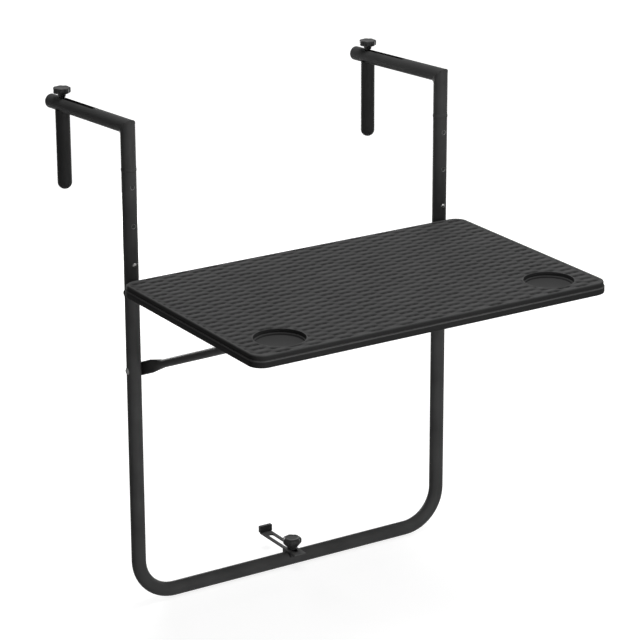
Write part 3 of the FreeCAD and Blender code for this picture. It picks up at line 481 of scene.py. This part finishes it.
def weave(plan, looks, width, depth):
    """Height of the relief below the strands' crowns, which is 0 or less, and 0 on the border.

    Strands run along X and pass over and under stakes along Y, in turn, so that crowns and dives
    form a chessboard. The product of a cosine along X and one along Y is 1 on a crown, 0 half way
    and -1 in a dive. The level sags with it and drops steeply a little past half way, which leaves
    lens-shaped pits, with the crown of a stake in the middle of each. The pits differ a little.
    """
    x, y = plan[..., 0], plan[..., 1]
    column = np.round(x / looks.column).astype(int)
    strand = np.round(y / looks.strand).astype(int)
    over = np.cos(np.pi * x / looks.column) * np.cos(np.pi * y / looks.strand)
    chance = np.random.default_rng(CHANCE_SEED).uniform(-looks.vary, looks.vary, CHANCE_TABLE)
    vary = 1.0 + chance[column % CHANCE_TABLE[0], strand % CHANCE_TABLE[1]]
    dive = smooth_step((-over * vary - PIT_START) / PIT_SPREAD)
    level = looks.sag * (over - 1.0) - looks.pit * vary * dive
    off_stake = (x - looks.column * column) / looks.stake_half
    level = np.maximum(level, -looks.stake * (1.0 + STAKE_ROUND * off_stake * off_stake))
    outside = edge_distance(x, y, width / 2.0 - looks.border, depth / 2.0 - looks.border)
    return level * smooth_step(-outside / BORDER_FADE)


def edge_loop(nx, ny):
    """Grid indices once round the outline, anticlockwise seen from above."""
    bottom = [(i, 0) for i in range(nx)]
    right = [(nx - 1, j) for j in range(1, ny)]
    top = [(i, ny - 1) for i in range(nx - 2, -1, -1)]
    left = [(0, j) for j in range(ny - 2, 0, -1)]
    return np.array(bottom + right + top + left)


def arc_points(centre, radius, start, stop, count):
    """Points of an arc in a plane, with its angles in degrees."""
    turn = np.radians(np.linspace(start, stop, count))
    return [(centre[0] + radius * math.cos(a), centre[1] + radius * math.sin(a)) for a in turn]


def skirt_profile(thickness):
    """Distances in from the outline and heights below the top, from the relief's edge round to the skin.

    The upper body stands back behind the lower band by the ledge. The ledge rolls over into the
    lower band, whose foot is rounded too.
    """
    inner = LEDGE_OUT + SKIRT_T
    edge = arc_points((TOP_INSET, -TOP_EDGE_R), TOP_EDGE_R, 90, 180, 6)[1:]
    foot = [(LEDGE_OUT, -LEDGE_DROP + SMALL_R)]
    ledge = arc_points((LEDGE_R, -LEDGE_DROP - LEDGE_R), LEDGE_R, 90, 180, 5)
    low = [(0.0, -LEDGE_DROP - 2 * LEDGE_R)]
    low += arc_points((FOOT_R, -thickness + FOOT_R), FOOT_R, 180, 270, 5)
    inside = arc_points((inner - SMALL_R, -thickness + SMALL_R), SMALL_R, 270, 360, 3)
    return np.array(edge + foot + [(LEDGE_OUT, -LEDGE_DROP)] + ledge + low + inside + [(inner, -SKIN_T)])


class Mesh:
    """Points and faces that are added to in parts."""

    def __init__(self):
        self.points = []
        self.faces = []
        self.count = 0

    def add(self, points, *groups):
        """Adds points, and groups of faces that count from the first of them.

        The faces of a group all have the same number of corners.
        """
        self.points.append(np.asarray(points, float).reshape(-1, 3))
        for faces in groups:
            self.faces += (np.asarray(faces) + self.count).tolist()
        self.count += len(self.points[-1])

    def add_grid(self, grid, **closing):
        """Adds a grid of points with its faces."""
        self.add(grid, quads(grid.shape[0], grid.shape[1], **closing))

    def add_box(self, low, high):
        """Adds a closed box."""
        ends = np.array([low, high])
        points = [(ends[i][0], ends[j][1], ends[k][2]) for k in (0, 1) for j in (0, 1) for i in (0, 1)]
        faces = [(0, 2, 3, 1), (4, 5, 7, 6), (0, 1, 5, 4), (2, 6, 7, 3), (0, 4, 6, 2), (1, 3, 7, 5)]
        self.add(points, faces)

    def add_rod(self, centre, radius, low, high, sides):
        """Adds a closed upright cylinder."""
        turn = once_round(sides)
        ring = np.stack([centre[0] + radius * np.cos(turn), centre[1] + radius * np.sin(turn)], -1)
        points = np.concatenate([np.c_[ring, np.full(sides, z)] for z in (low, high)])
        below = np.arange(sides)
        self.add(points, quads(2, sides, close_columns=True), [below[::-1], below + sides])

    def merged(self, name):
        """Object with coincident points merged."""
        piece = mesh_object(name, np.concatenate(self.points), self.faces)
        weld(piece)
        return piece


def weld(piece):
    """Merges points that lie together and turns the faces outwards."""
    work = bmesh.new()
    work.from_mesh(piece.data)
    bmesh.ops.remove_doubles(work, verts=work.verts, dist=WELD_GAP)
    bmesh.ops.recalc_face_normals(work, faces=work.faces)
    work.to_mesh(piece.data)
    work.free()
    piece.data.polygons.foreach_set("use_smooth", np.ones(len(piece.data.polygons), bool))
    piece.data.set_sharp_from_angle(angle=SHARP)


def tube_mesh(grid, name):
    """Object of a section carried round a closed path, from its grid of points."""
    mesh = Mesh()
    mesh.add_grid(grid, close_rows=True, close_columns=True)
    return mesh.merged(name)


def cup_profile():
    """Radii and depths of a cup recess from its rim to its floor, with a small step in its wall."""
    inner = CUP_R - CUP_STEP
    rim = arc_points((CUP_R + SMALL_R, -SMALL_R), SMALL_R, 90, 180, 4)
    rounding = ((SMALL_R, 0.2 * MM), (0.3 * SMALL_R, 0.5 * MM), (0.0, SMALL_R))
    step = [(CUP_R, -CUP_STEP_DROP)]
    step += [(inner + out, -CUP_STEP_DROP - down) for out, down in rounding]
    foot = [(inner, -CUP_DEPTH + CUP_BEVEL), (inner - CUP_BEVEL, -CUP_DEPTH)]
    return np.array(rim + step + foot)


def clear_spans(line, cups, far):
    """Stretches of a rib from -far to far that stay outside the cups.

    Each cup is its place along the rib and its place across it; a circle cuts the line over half
    a chord, the root of its radius squared less the distance squared, each side of its centre.
    """
    spans = [(-far, far)]
    for along, across in cups:
        squared = (CUP_R + CUP_WALL) ** 2 - (line - across) ** 2
        if squared > 0:
            start, stop = along - math.sqrt(squared), along + math.sqrt(squared)
            halves = [half for a, b in spans for half in ((a, min(b, start)), (max(a, stop), b))]
            spans = [half for half in halves if half[1] > half[0]]
    return spans


def block_round(cup, xs, ys):
    """First and last grid lines, along X and Y, of the block of cells that a cup takes up."""
    i0, i1 = np.searchsorted(xs, (cup[0] - PATCH_REACH, cup[0] + PATCH_REACH))
    j0, j1 = np.searchsorted(ys, (cup[1] - PATCH_REACH, cup[1] + PATCH_REACH))
    return i0, i1, j0, j1


def add_cup(mesh, cup, block, plan, looks, width, depth):
    """Adds a cup in the block that the relief leaves out, and returns its shell's loop in the skin.

    Rings of points go straight from the block's edge to the cup's rim, and the relief fades out
    over them. The cup's profile is turned about its middle. A shell closes the cup from below.
    """
    i0, i1, j0, j1 = block
    around = edge_loop(i1 - i0 + 1, j1 - j0 + 1) + (i0, j0)
    outer = plan[around[:, 0], around[:, 1]]
    away = outer - cup
    away /= np.linalg.norm(away, axis=1, keepdims=True)
    profile = cup_profile()
    rim = np.array(cup) + away * profile[0, 0]
    inwards = np.linspace(0, 1, PATCH_RINGS)[:, None, None]
    patch = outer[None] * (1 - inwards) + rim[None] * inwards
    fall = weave(patch, looks, width, depth)
    from_rim = np.linalg.norm(patch - cup, axis=-1) - profile[0, 0]
    fall[1:] *= smooth_step(from_rim[1:] / CUP_FADE)
    mesh.add_grid(np.concatenate([patch, fall[..., None]], -1), close_columns=True)
    rings = np.array(cup) + away[None] * profile[:, 0][:, None, None]
    drop = np.broadcast_to(profile[:, 1][:, None, None], rings.shape[:2] + (1,))
    mesh.add_grid(np.concatenate([rings, drop], -1), close_columns=True)
    mesh.add(np.c_[rings[-1], drop[-1]], [range(len(away))])
    turn = once_round(CUP_SIDES)
    shell = np.array(cup) + np.stack([np.cos(turn), np.sin(turn)], -1) * (CUP_R + CUP_WALL)
    walls = np.stack([np.c_[shell, np.full(CUP_SIDES, z)] for z in (-SKIN_T, -CUP_DEPTH - CUP_WALL)])
    mesh.add_grid(walls, close_columns=True)
    mesh.add(walls[1], [range(CUP_SIDES)])
    return walls[0]


def add_skirt(mesh, plan, width, depth, thickness):
    """Adds the stepped skirt with its notches for the legs, and returns its last loop, in the skin.

    The skirt's profile is carried round the outline, square to it at each point.
    """
    loop = edge_loop(*plan.shape[:2])
    edge = plan[loop[:, 0], loop[:, 1]]
    core = np.abs(edge) - (np.array((width, depth)) / 2 - TOP_CORNER_R)
    pull = np.maximum(core, 0) * np.sign(edge)
    outward = pull / np.linalg.norm(pull, axis=1, keepdims=True)
    profile = np.concatenate([[(TOP_INSET, 0.0)], skirt_profile(thickness)])
    ring = edge[None] + outward[None] * (TOP_INSET - profile[:, 0])[:, None, None]
    drop = np.repeat(profile[:, 1][:, None], len(edge), 1)
    by_leg = np.abs(np.abs(edge[:, 0]) - (width / 2 - LEG_INSET)) < NOTCH_HALF
    notched = by_leg & (edge[:, 1] > 0) & (outward[:, 1] > 0.5)
    drop = np.where(notched[None], np.maximum(drop, -thickness + NOTCH_H), drop)
    mesh.add_grid(np.concatenate([ring, drop[..., None]], -1), close_columns=True)
    return np.c_[ring[-1], drop[-1]]


def add_ribs(mesh, cups, width, depth):
    """Adds the ribs under the skin, which stop at the cups. They reach a little into the skin."""
    low, high = -SKIN_T - RIB_H, -SKIN_T + RIB_T / 4
    far_x = width / 2 - LEDGE_OUT - SKIRT_T
    far_y = depth / 2 - LEDGE_OUT - SKIRT_T
    for k in range(RIBS_ACROSS):
        x = (k - (RIBS_ACROSS - 1) / 2) * 2 * (width / 2 - LEG_INSET) / RIBS_ACROSS
        for y0, y1 in clear_spans(x, [(cy, cx) for cx, cy in cups], far_y):
            mesh.add_box((x - RIB_T / 2, y0, low), (x + RIB_T / 2, y1, high))
    for k in range(RIBS_ALONG):
        y = far_y - (k + 1) * 2 * far_y / (RIBS_ALONG + 1)
        for x0, x1 in clear_spans(y, cups, far_x):
            mesh.add_box((x0, y - RIB_T / 2, low), (x1, y + RIB_T / 2, high))


def build_top(looks):
    """The moulded top: relief, cup recesses, stepped skirt, and ribs and bosses underneath."""
    low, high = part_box("tabletop")
    width, depth, thickness = high - low
    middle = (low + high) / 2.0
    nx = round(width / looks.column * looks.column_cells)
    ny = round(depth / looks.strand * looks.strand_cells)
    xs = np.linspace(-width / 2 + TOP_INSET, width / 2 - TOP_INSET, nx)
    ys = np.linspace(-depth / 2 + TOP_INSET, depth / 2 - TOP_INSET, ny)
    plan = rounded_grid(xs, ys, TOP_CORNER_R - TOP_INSET)
    cup_y = -depth / 2 + CUP_FROM_FRONT
    cups = [(side * (width / 2 - CUP_FROM_SIDE), cup_y) for side in (-1, 1)]
    blocks = [block_round(cup, xs, ys) for cup in cups]
    keep = np.ones((nx - 1, ny - 1), bool)
    for i0, i1, j0, j1 in blocks:
        keep[i0:i1, j0:j1] = False
    mesh = Mesh()
    relief = weave(plan, looks, width, depth)
    cells = quads(nx, ny).reshape(nx - 1, ny - 1, 4)
    mesh.add(np.concatenate([plan, relief[..., None]], -1), cells[keep])
    shells = [add_cup(mesh, cup, block, plan, looks, width, depth) for cup, block in zip(cups, blocks)]
    skin = [add_skirt(mesh, plan, width, depth, thickness)] + shells
    flat = tessellate_polygon([[Vector(p) for p in loop] for loop in skin])
    mesh.add(np.concatenate(skin), flat)
    add_ribs(mesh, cups, width, depth)
    for x in (-BOSS_X, BOSS_X):
        for y in BOSS_YS:
            centre = (x, y - middle.y)
            mesh.add_rod(centre, BOSS_R, -SKIN_T - BOSS_H, -SKIN_T + RIB_T / 4, BOSS_SIDES)
    origin = (middle.x, middle.y, high.z)
    mesh.points = [p + origin for p in mesh.points]
    piece = mesh.merged("woven_top")
    # Store the share of painted shade at each point, for the material
    co = np.empty(len(piece.data.vertices) * 3)
    piece.data.vertices.foreach_get("co", co)
    shade = relief_shade(co.reshape(-1, 3) - origin, looks, width, depth, cups)
    stored = piece.data.attributes.new("relief", "FLOAT", "POINT")
    stored.data.foreach_set("value", shade.astype(np.float32))
    return piece


def relief_shade(local, looks, width, depth, cups):
    """Share of the painted shade colour at the top's points, which are given from the middle of the top.

    It is painted shade that grows with the depth in the relief. Plain walls, the underside and the cups'
    walls and floors have a share of painted shade of their own. The ledges and the cups' steps have a
    lower share, which paints a highlight band on them.
    """
    x, y, z = local.T
    deepest = looks.sag + looks.pit * (1.0 + looks.vary)
    shade = np.interp(-z, (0.0, looks.sag, deepest), (0.0, looks.sag_shade, looks.pit_shade))
    plain = -z > PLAIN_DEPTH
    shade = np.where(plain, looks.plain_shade, shade)
    from_edge = edge_distance(x, y, width / 2, depth / 2)
    shade = np.where(plain & (from_edge < -UNDER_FROM), looks.under_shade, shade)
    from_cup = np.min([np.hypot(x - cx, y - cy) for cx, cy in cups], axis=0) - CUP_R
    in_cup = (from_cup < SMALL_R / 2) & (-z < CUP_DEPTH + SMALL_R) & (-z > CUP_RIM_DEPTH)
    shade = np.where(in_cup, looks.wall_shade, shade)
    shade = np.where(in_cup & (from_cup < -FLOOR_FROM), looks.cup_shade, shade)
    # Painted highlight: a lower share of painted shade on a band of the ledges and of the cups' steps
    ledge_height = np.abs(z + LEDGE_DROP + LEDGE_R / 2)
    on_ledge = (from_edge > -LEDGE_UP_TO) & (ledge_height < BAND_HALF * LEDGE_R)
    on_step = in_cup & (np.abs(z + CUP_STEP_DROP + SMALL_R / 2) < BAND_HALF * SMALL_R)
    return np.where(on_ledge | on_step, looks.ledge_shade, shade)


# Sizes of the clamping knobs, close to those of the CAD nodes that they stand for
FINGER_KNOB = {"radius": 13.5 * MM, "neck_r": 5.75 * MM, "neck_h": 6.0 * MM, "taper_in": 1.6 * MM,
               "taper_h": 1.6 * MM, "shoulder": 1.9 * MM, "bore_r": 3.1 * MM, "bore_h": 9.1 * MM,
               "dish": 0.4 * MM}
SPACER_KNOB = {"radius": 15.0 * MM, "neck_r": 7.25 * MM, "neck_h": 5.0 * MM, "taper_in": 5.2 * MM,
               "taper_h": 6.5 * MM, "shoulder": 3.8 * MM, "bore_r": 3.1 * MM, "bore_h": 9.1 * MM,
               "dish": 0.3 * MM}

# A knob's roundings, how far out its neck flares at which shares of its height, and its dished top
KNOB_SMALL_R = 0.8 * MM
KNOB_FLARE = ((0.5 * MM, 0.6), (1.5 * MM, 0.92), (2.2 * MM, 1.0))
DISH_FROM_EDGE = 0.4 * MM
DISH_SLOPE = 0.7 * MM

# The hollows between a knob's lobes
HOLLOW_POWER = 1.6  # a higher power makes them narrower
HOLLOW_FROM = 0.62  # where they start to fade in, as a share of the knob's radius
HOLLOW_OVER = 0.3  # over how much of the radius they fade in
STEPS_PER_LOBE = 24


def knob_profile(tall, size):
    """Radii and heights of a knob from its bore, out under the neck and over the head to the middle."""
    radius, neck, low, shoulder = size["radius"], size["neck_r"], size["neck_h"], size["shoulder"]
    under = radius - size["taper_in"]
    wide = low + size["taper_h"]
    small = KNOB_SMALL_R
    rim = radius - shoulder - DISH_FROM_EDGE
    dish = tall - size["dish"]
    profile = [(0.0, size["bore_h"]), (size["bore_r"], size["bore_h"]), (size["bore_r"], 0.0)]
    profile += arc_points((neck - small, small), small, 270, 360, 4)
    profile += [(neck + out, low * up) for out, up in KNOB_FLARE]
    profile += [(under - small, low), (under, low + 0.25 * small)]
    profile += [(radius - 0.5 * small, wide - small), (radius, wide + small)]
    profile += arc_points((radius - shoulder, tall - shoulder), shoulder, 0, 84, 8)
    profile += [(rim, tall), (rim - DISH_SLOPE, dish), (rim * 0.5, dish), (0.0, dish)]
    return np.array(profile)


def build_knob(node, body, size, looks):
    """Lobed knob that stands for a CAD knob: its profile turned about Z, drawn in between the lobes.

    The radius at an angle is the profile's radius less a share of the lobe depth. That share
    follows a sharpened cosine in angle, 1 in the hollows and 0 on the lobes, and fades to 0
    towards the neck and the middle of the top.
    """
    low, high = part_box(node)
    middle_x, middle_y = (low.x + high.x) / 2, (low.y + high.y) / 2
    profile = knob_profile(high.z - low.z, size)
    turn = once_round(STEPS_PER_LOBE * looks.lobes)
    hollow = ((1 + np.cos(looks.lobes * turn)) / 2) ** HOLLOW_POWER
    depth = looks.lobe_depth * smooth_step((profile[:, 0] / size["radius"] - HOLLOW_FROM) / HOLLOW_OVER)
    r = profile[:, 0][:, None] - depth[:, None] * hollow[None]
    z = np.repeat(profile[:, 1][:, None], len(turn), 1)
    grid = np.stack([middle_x + r * np.cos(turn), middle_y + r * np.sin(turn), low.z + z], -1)
    mesh = Mesh()
    mesh.add_grid(grid, close_columns=True)
    return dress(mesh.merged(node + "_moulded"), body, "knob_plastic", node)


# The weld bead round a hook's mitre
BEAD_STEPS = 96  # points round the mitre
BEAD_ACROSS = 7  # points across the bead
BEAD_OUT = 0.5 * MM  # from the mitre out to the middle control point of the bead's section
BEAD_IN = 0.8 * MM  # from the mitre in to the section's last point
FILL_INNER = 0.35  # share of the reach by which the control point lies in the inner corner's angle
FILL_OUTER = 1.3  # share of the reach by which it lies out past the ridge elsewhere
RIPPLES = 26
RIPPLE_H = 0.12 * MM
RIPPLE_UP_TO = 0.9  # cosine from the inner corner above which the bead has no ripples

# The rims of the legs and the rings in their holes, which carry a painted highlight
RIM_STEPS = 64
RIM_IN = 0.6 * MM  # how far a rim reaches into the leg's wall
HOLE_STEPS = 40
HOLE_RIM_IN = 0.05 * MM  # how far a hole's ring stays below the leg's surface


def build_elbow_weld(side, body, looks):
    """Weld bead round the mitre of a hook, a fillet in its inner corner and a low ridge elsewhere.

    The mitre is an ellipse round the leg. At each of its points the bead's section is a quadratic
    curve from a point on the leg to a point on the arm, the same way from the mitre, whose middle
    control point lies near the mitre: inside the corner's angle where the bead fills it, and
    outside the tube elsewhere. A last point inside the tube closes the section.
    """
    down = np.array((0.0, 0.0, -1.0))
    along = np.array((0.0, math.cos(ARM_DROOP), -math.sin(ARM_DROOP)))
    turn = np.linspace(-np.pi, np.pi, BEAD_STEPS, endpoint=False)
    face = np.cos(turn)
    normal = np.stack([np.sin(turn), face, np.zeros_like(turn)], -1)
    mitre = np.stack([TUBE_R * np.sin(turn), TUBE_R * face,
                      -TUBE_R * face * (1 + math.sin(ARM_DROOP)) / math.cos(ARM_DROOP)], -1)
    reach = looks.weld_side + (looks.weld_inner - looks.weld_side) * smooth_step(face)
    fill = np.where(face > 0, FILL_INNER * face, FILL_OUTER * face)
    control = mitre + reach[:, None] * (fill[:, None] * (down + along) / 2) + BEAD_OUT * normal
    t = np.linspace(0, 1, BEAD_ACROSS)[:, None, None]
    start = mitre + reach[:, None] * down
    end = mitre + reach[:, None] * along
    bead = (1 - t) ** 2 * start + 2 * t * (1 - t) * control + t ** 2 * end
    ripple = RIPPLE_H * np.sin(turn * RIPPLES) * (face < RIPPLE_UP_TO)
    bead[1:-1] += ripple[None, :, None] * normal
    core = mitre - BEAD_IN * normal
    grid = np.concatenate([bead, core[None]]) + (side * leg_x(), 0.0, TUBE_R)
    return dress(tube_mesh(grid, body + "_elbow_weld"), body, "powder_coated_steel")


def leg_x():
    """Distance of the legs' axes from the middle."""
    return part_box("u_frame")[1].x - TUBE_R


def build_leg_rim(side, name, looks):
    """Rounded rim at a leg's upper end: a half ellipse turned about the leg's axis."""
    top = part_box("u_frame")[1].z
    half = looks.rim_h / 2
    section = arc_points((TUBE_R, top - half), half, 90, -90, 7)
    section = [(TUBE_R + (r - TUBE_R) * looks.rim_out / half, z) for r, z in section]
    section += [(TUBE_R - RIM_IN, top - looks.rim_h), (TUBE_R - RIM_IN, top)]
    turn = once_round(RIM_STEPS)
    r, z = np.array(section).T
    grid = np.stack([side * leg_x() + r[:, None] * np.cos(turn), r[:, None] * np.sin(turn),
                     np.repeat(z[:, None], RIM_STEPS, 1)], -1)
    return dress(tube_mesh(grid, name + "_leg_rim"), "frame", "powder_coated_steel")


def build_hole_rims(side, name, looks):
    """Painted highlights in a leg's button holes: each a thin light ring that lines the hole through the
    tube's wall.

    A ring's points lie at distances about the hole's radius in a plane along X and Z. They are
    wrapped onto the tube by turning the X part into an angle about the leg's axis.
    """
    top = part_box("u_frame")[1].z
    near, wide = HOLE_R - looks.hole_rim, HOLE_R + looks.hole_rim
    out = np.array((near, wide, wide, near))
    lift = np.array((-HOLE_RIM_IN, -HOLE_RIM_IN, -LEG_WALL, -LEG_WALL))
    turn = once_round(HOLE_STEPS)
    across = out[:, None] * np.cos(turn) / TUBE_R
    far = TUBE_R + lift[:, None]
    mesh = Mesh()
    for k in range(HOLE_COUNT):
        up = top - LEG_PAST_HOLES - k * HOLE_PITCH + out[:, None] * np.sin(turn)
        grid = np.stack([side * leg_x() + far * np.sin(across), -far * np.cos(across), up], -1)
        mesh.add_grid(grid, close_rows=True, close_columns=True)
    return dress(mesh.merged(name + "_hole_rims"), "frame", "powder_coated_steel", finish="painted_highlight_edge")


# Finishes of nodes that differ from their slots', by the node's name without its first word
FINISHES = {"finger_tube": "finger_coat", "finger_tip": "finger_coat", "finger_screw": "blackened_steel",
            "screw": "blackened_steel", "insert": "blackened_steel", "bolts": "blackened_steel",
            "strip": "strip_plastic"}


class TABLE_OT_finishes(bpy.types.Operator):
    """Gives every carried-over node its finish, darker where the real piece is"""
    bl_idname = "balcony_table.finishes"
    bl_label = "Finishes"

    def execute(self, context):
        make_materials(context.scene)
        slots = {s["node"]: s["material_slot"] for s in frame["record"]["subparts"]}
        for name, node in frame["nodes"].items():
            for place in node.material_slots:
                place.material = MATERIALS[FINISHES.get(name.split("_", 1)[-1], slots[name])]
        return {"FINISHED"}


class TABLE_OT_woven_top(bpy.types.Operator):
    """Builds the moulded top with its woven relief"""
    bl_idname = "balcony_table.woven_top"
    bl_label = "Woven top"

    def execute(self, context):
        dress(build_top(context.scene.top_looks), "table", "moulded_top", "tabletop")
        return {"FINISHED"}


class TABLE_OT_knobs(bpy.types.Operator):
    """Builds the knobs of the fingers and of the spacer"""
    bl_idname = "balcony_table.knobs"
    bl_label = "Knobs"

    def execute(self, context):
        looks = context.scene.frame_looks
        for side in ("left", "right"):
            build_knob(side + "_finger_knob", side + "_finger_knob", FINGER_KNOB, looks)
        build_knob("spacer_knob", "spacer_knob", SPACER_KNOB, looks)
        return {"FINISHED"}


class TABLE_OT_tube_details(bpy.types.Operator):
    """Builds the weld beads of the hooks, the rims of the legs and the painted highlights in their holes
    """
    bl_idname = "balcony_table.tube_details"
    bl_label = "Tube details"

    def execute(self, context):
        looks = context.scene.frame_looks
        for side, name in ((-1, "left"), (1, "right")):
            build_elbow_weld(side, name + "_hook", looks)
            build_leg_rim(side, name, looks)
            build_hole_rims(side, name, looks)
        return {"FINISHED"}


class TABLE_OT_stage(bpy.types.Operator):
    """Sets the camera, the floor and the lamps"""
    bl_idname = "balcony_table.stage"
    bl_label = "Stage"

    def execute(self, context):
        looks = context.scene.stage_looks
        make_camera(context.scene, looks)
        make_floor(looks)
        make_lamps()
        make_world(context.scene, looks)
        context.scene.view_settings.view_transform = "Standard"
        return {"FINISHED"}


# The lamps: place, width of the square in metres, and power in watts
LAMPS = {
    "overhead": ((0.3, -0.3, 2.0), 1.4, 57.0),
    "front": ((-0.1, -1.9, -0.55), 0.9, 42.0),
    "left": ((-2.6, -0.6, 0.7), 1.4, 0.4),
    "right": ((2.2, 1.1, -0.5), 1.2, 20.0),
    "behind": ((0.3, 2.0, -0.5), 0.9, 36.0),
}
LAMP_AIM = (0.0, -0.15, -0.35)

# The camera's sensor and the floor
SENSOR = 36.0  # millimetres
FLOOR_HALF = 12.0
GLOW_FROM = 1.0  # from the middle to where the floor's glow starts to grow
GLOW_FULL = 3.0  # from the middle to where it is full


def make_camera(scene, looks):
    """Camera at the photograph's angle, aimed from the middle of the bottom bar."""
    a, e = looks.azimuth, looks.elevation
    back = Vector((math.sin(a) * math.cos(e), -math.cos(a) * math.cos(e), math.sin(e)))
    right = Vector((math.cos(a), math.sin(a), 0.0))
    up = back.cross(right)
    c, s = math.cos(looks.roll), math.sin(looks.roll)
    right, up = right * c + up * s, up * c - right * s
    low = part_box("u_frame")[0]
    bar = Vector((0.0, 0.0, low.z + TUBE_R))
    data = bpy.data.cameras.new("camera")
    data.sensor_width = SENSOR
    data.lens = looks.lens
    data.clip_start = 0.1
    data.clip_end = 50.0
    camera = bpy.data.objects.new("camera", data)
    place = bar + right * looks.aim_right + up * looks.aim_up + back * looks.distance
    turn = Matrix((right, up, back)).transposed().to_4x4()
    camera.matrix_world = Matrix.Translation(place) @ turn
    scene.collection.objects.link(camera)
    scene.camera = camera


def seen_directly(tree):
    """1 for camera, glossy and transmission rays, and 0 for the rays that carry soft light."""
    path = add(tree, "ShaderNodeLightPath")
    both = add(tree, "ShaderNodeMath", {"operation": "MAXIMUM"},
               {0: path.outputs["Is Camera Ray"], 1: path.outputs["Is Glossy Ray"]})
    return add(tree, "ShaderNodeMath", {"operation": "MAXIMUM"},
               {0: both.outputs[0], 1: path.outputs["Is Transmission Ray"]}).outputs[0]


def make_floor(looks):
    """Pale floor under the frame, which shows the table's soft shadow and turns white further away."""
    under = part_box("u_frame")[0].z
    corners = [(x * FLOOR_HALF, y * FLOOR_HALF, under) for x, y in ((-1, -1), (1, -1), (1, 1), (-1, 1))]
    floor = mesh_object("floor", corners, [(0, 1, 2, 3)])
    material, tree, shader, place = new_material("pale_floor")
    shader.inputs["Base Color"].default_value = looks.floor
    shader.inputs["Roughness"].default_value = 0.9
    away = add(tree, "ShaderNodeVectorMath", {"operation": "LENGTH"}, {0: place}).outputs["Value"]
    level = add(tree, "ShaderNodeMapRange", {"From Min": GLOW_FROM, "From Max": GLOW_FULL,
                                             "To Min": looks.floor_glow, "To Max": 1.0}, {"Value": away})
    glow = add(tree, "ShaderNodeMath", {"operation": "MULTIPLY"},
               {0: seen_directly(tree), 1: level.outputs[0]})
    shader.inputs["Emission Color"].default_value = WHITE
    tree.links.new(glow.outputs[0], shader.inputs["Emission Strength"])
    floor.data.materials.append(material)


def make_lamps():
    """Soft studio lamps: a large one overhead, one in front of the table, and low ones round the rest."""
    for name, (place, size, power) in LAMPS.items():
        data = bpy.data.lights.new(name, "AREA")
        data.size = size
        data.energy = power
        lamp = bpy.data.objects.new(name, data)
        lamp.location = place
        lamp.rotation_mode = "QUATERNION"
        lamp.rotation_quaternion = (Vector(LAMP_AIM) - Vector(place)).to_track_quat("-Z", "Y")
        bpy.context.scene.collection.objects.link(lamp)


def make_world(scene, looks):
    """World that is white to the camera and in reflections, and a soft grey light otherwise."""
    world = bpy.data.worlds.new("studio")
    world.use_nodes = True
    tree = world.node_tree
    tree.nodes.clear()
    level = add(tree, "ShaderNodeMapRange", {"To Min": looks.ambient, "To Max": 1.0},
                {"Value": seen_directly(tree)})
    sky = add(tree, "ShaderNodeBackground", {"Color": WHITE}, {"Strength": level.outputs[0]})
    add(tree, "ShaderNodeOutputWorld", links={"Surface": sky.outputs[0]})
    scene.world = world


class TABLE_PT_panel(bpy.types.Panel):
    """Lists the steps that dress the table"""
    bl_idname = "TABLE_PT_panel"
    bl_label = "Balcony table"
    bl_space_type = "VIEW_3D"
    bl_region_type = "UI"
    bl_category = "Balcony table"

    def draw(self, context):
        for step in STEPS:
            self.layout.operator(step.bl_idname)


STEPS = (TABLE_OT_finishes, TABLE_OT_woven_top, TABLE_OT_knobs, TABLE_OT_tube_details, TABLE_OT_stage)
GROUPS = {"top_looks": TopLooks, "frame_looks": FrameLooks, "stage_looks": StageLooks}


def register():
    """Registers the classes and gives the scene its settings."""
    for item in (*GROUPS.values(), *STEPS, TABLE_PT_panel):
        bpy.utils.register_class(item)
    for name, group in GROUPS.items():
        setattr(bpy.types.Scene, name, PointerProperty(type=group))


def unregister():
    """Takes the settings and the classes away again."""
    for name in GROUPS:
        delattr(bpy.types.Scene, name)
    for item in (TABLE_PT_panel, *reversed(STEPS), *reversed(GROUPS.values())):
        bpy.utils.unregister_class(item)


def main():
    """Runs every step in order."""
    register()
    for step in STEPS:
        group, name = step.bl_idname.split(".")
        getattr(getattr(bpy.ops, group), name)()


if __name__ == "__main__":
    main()
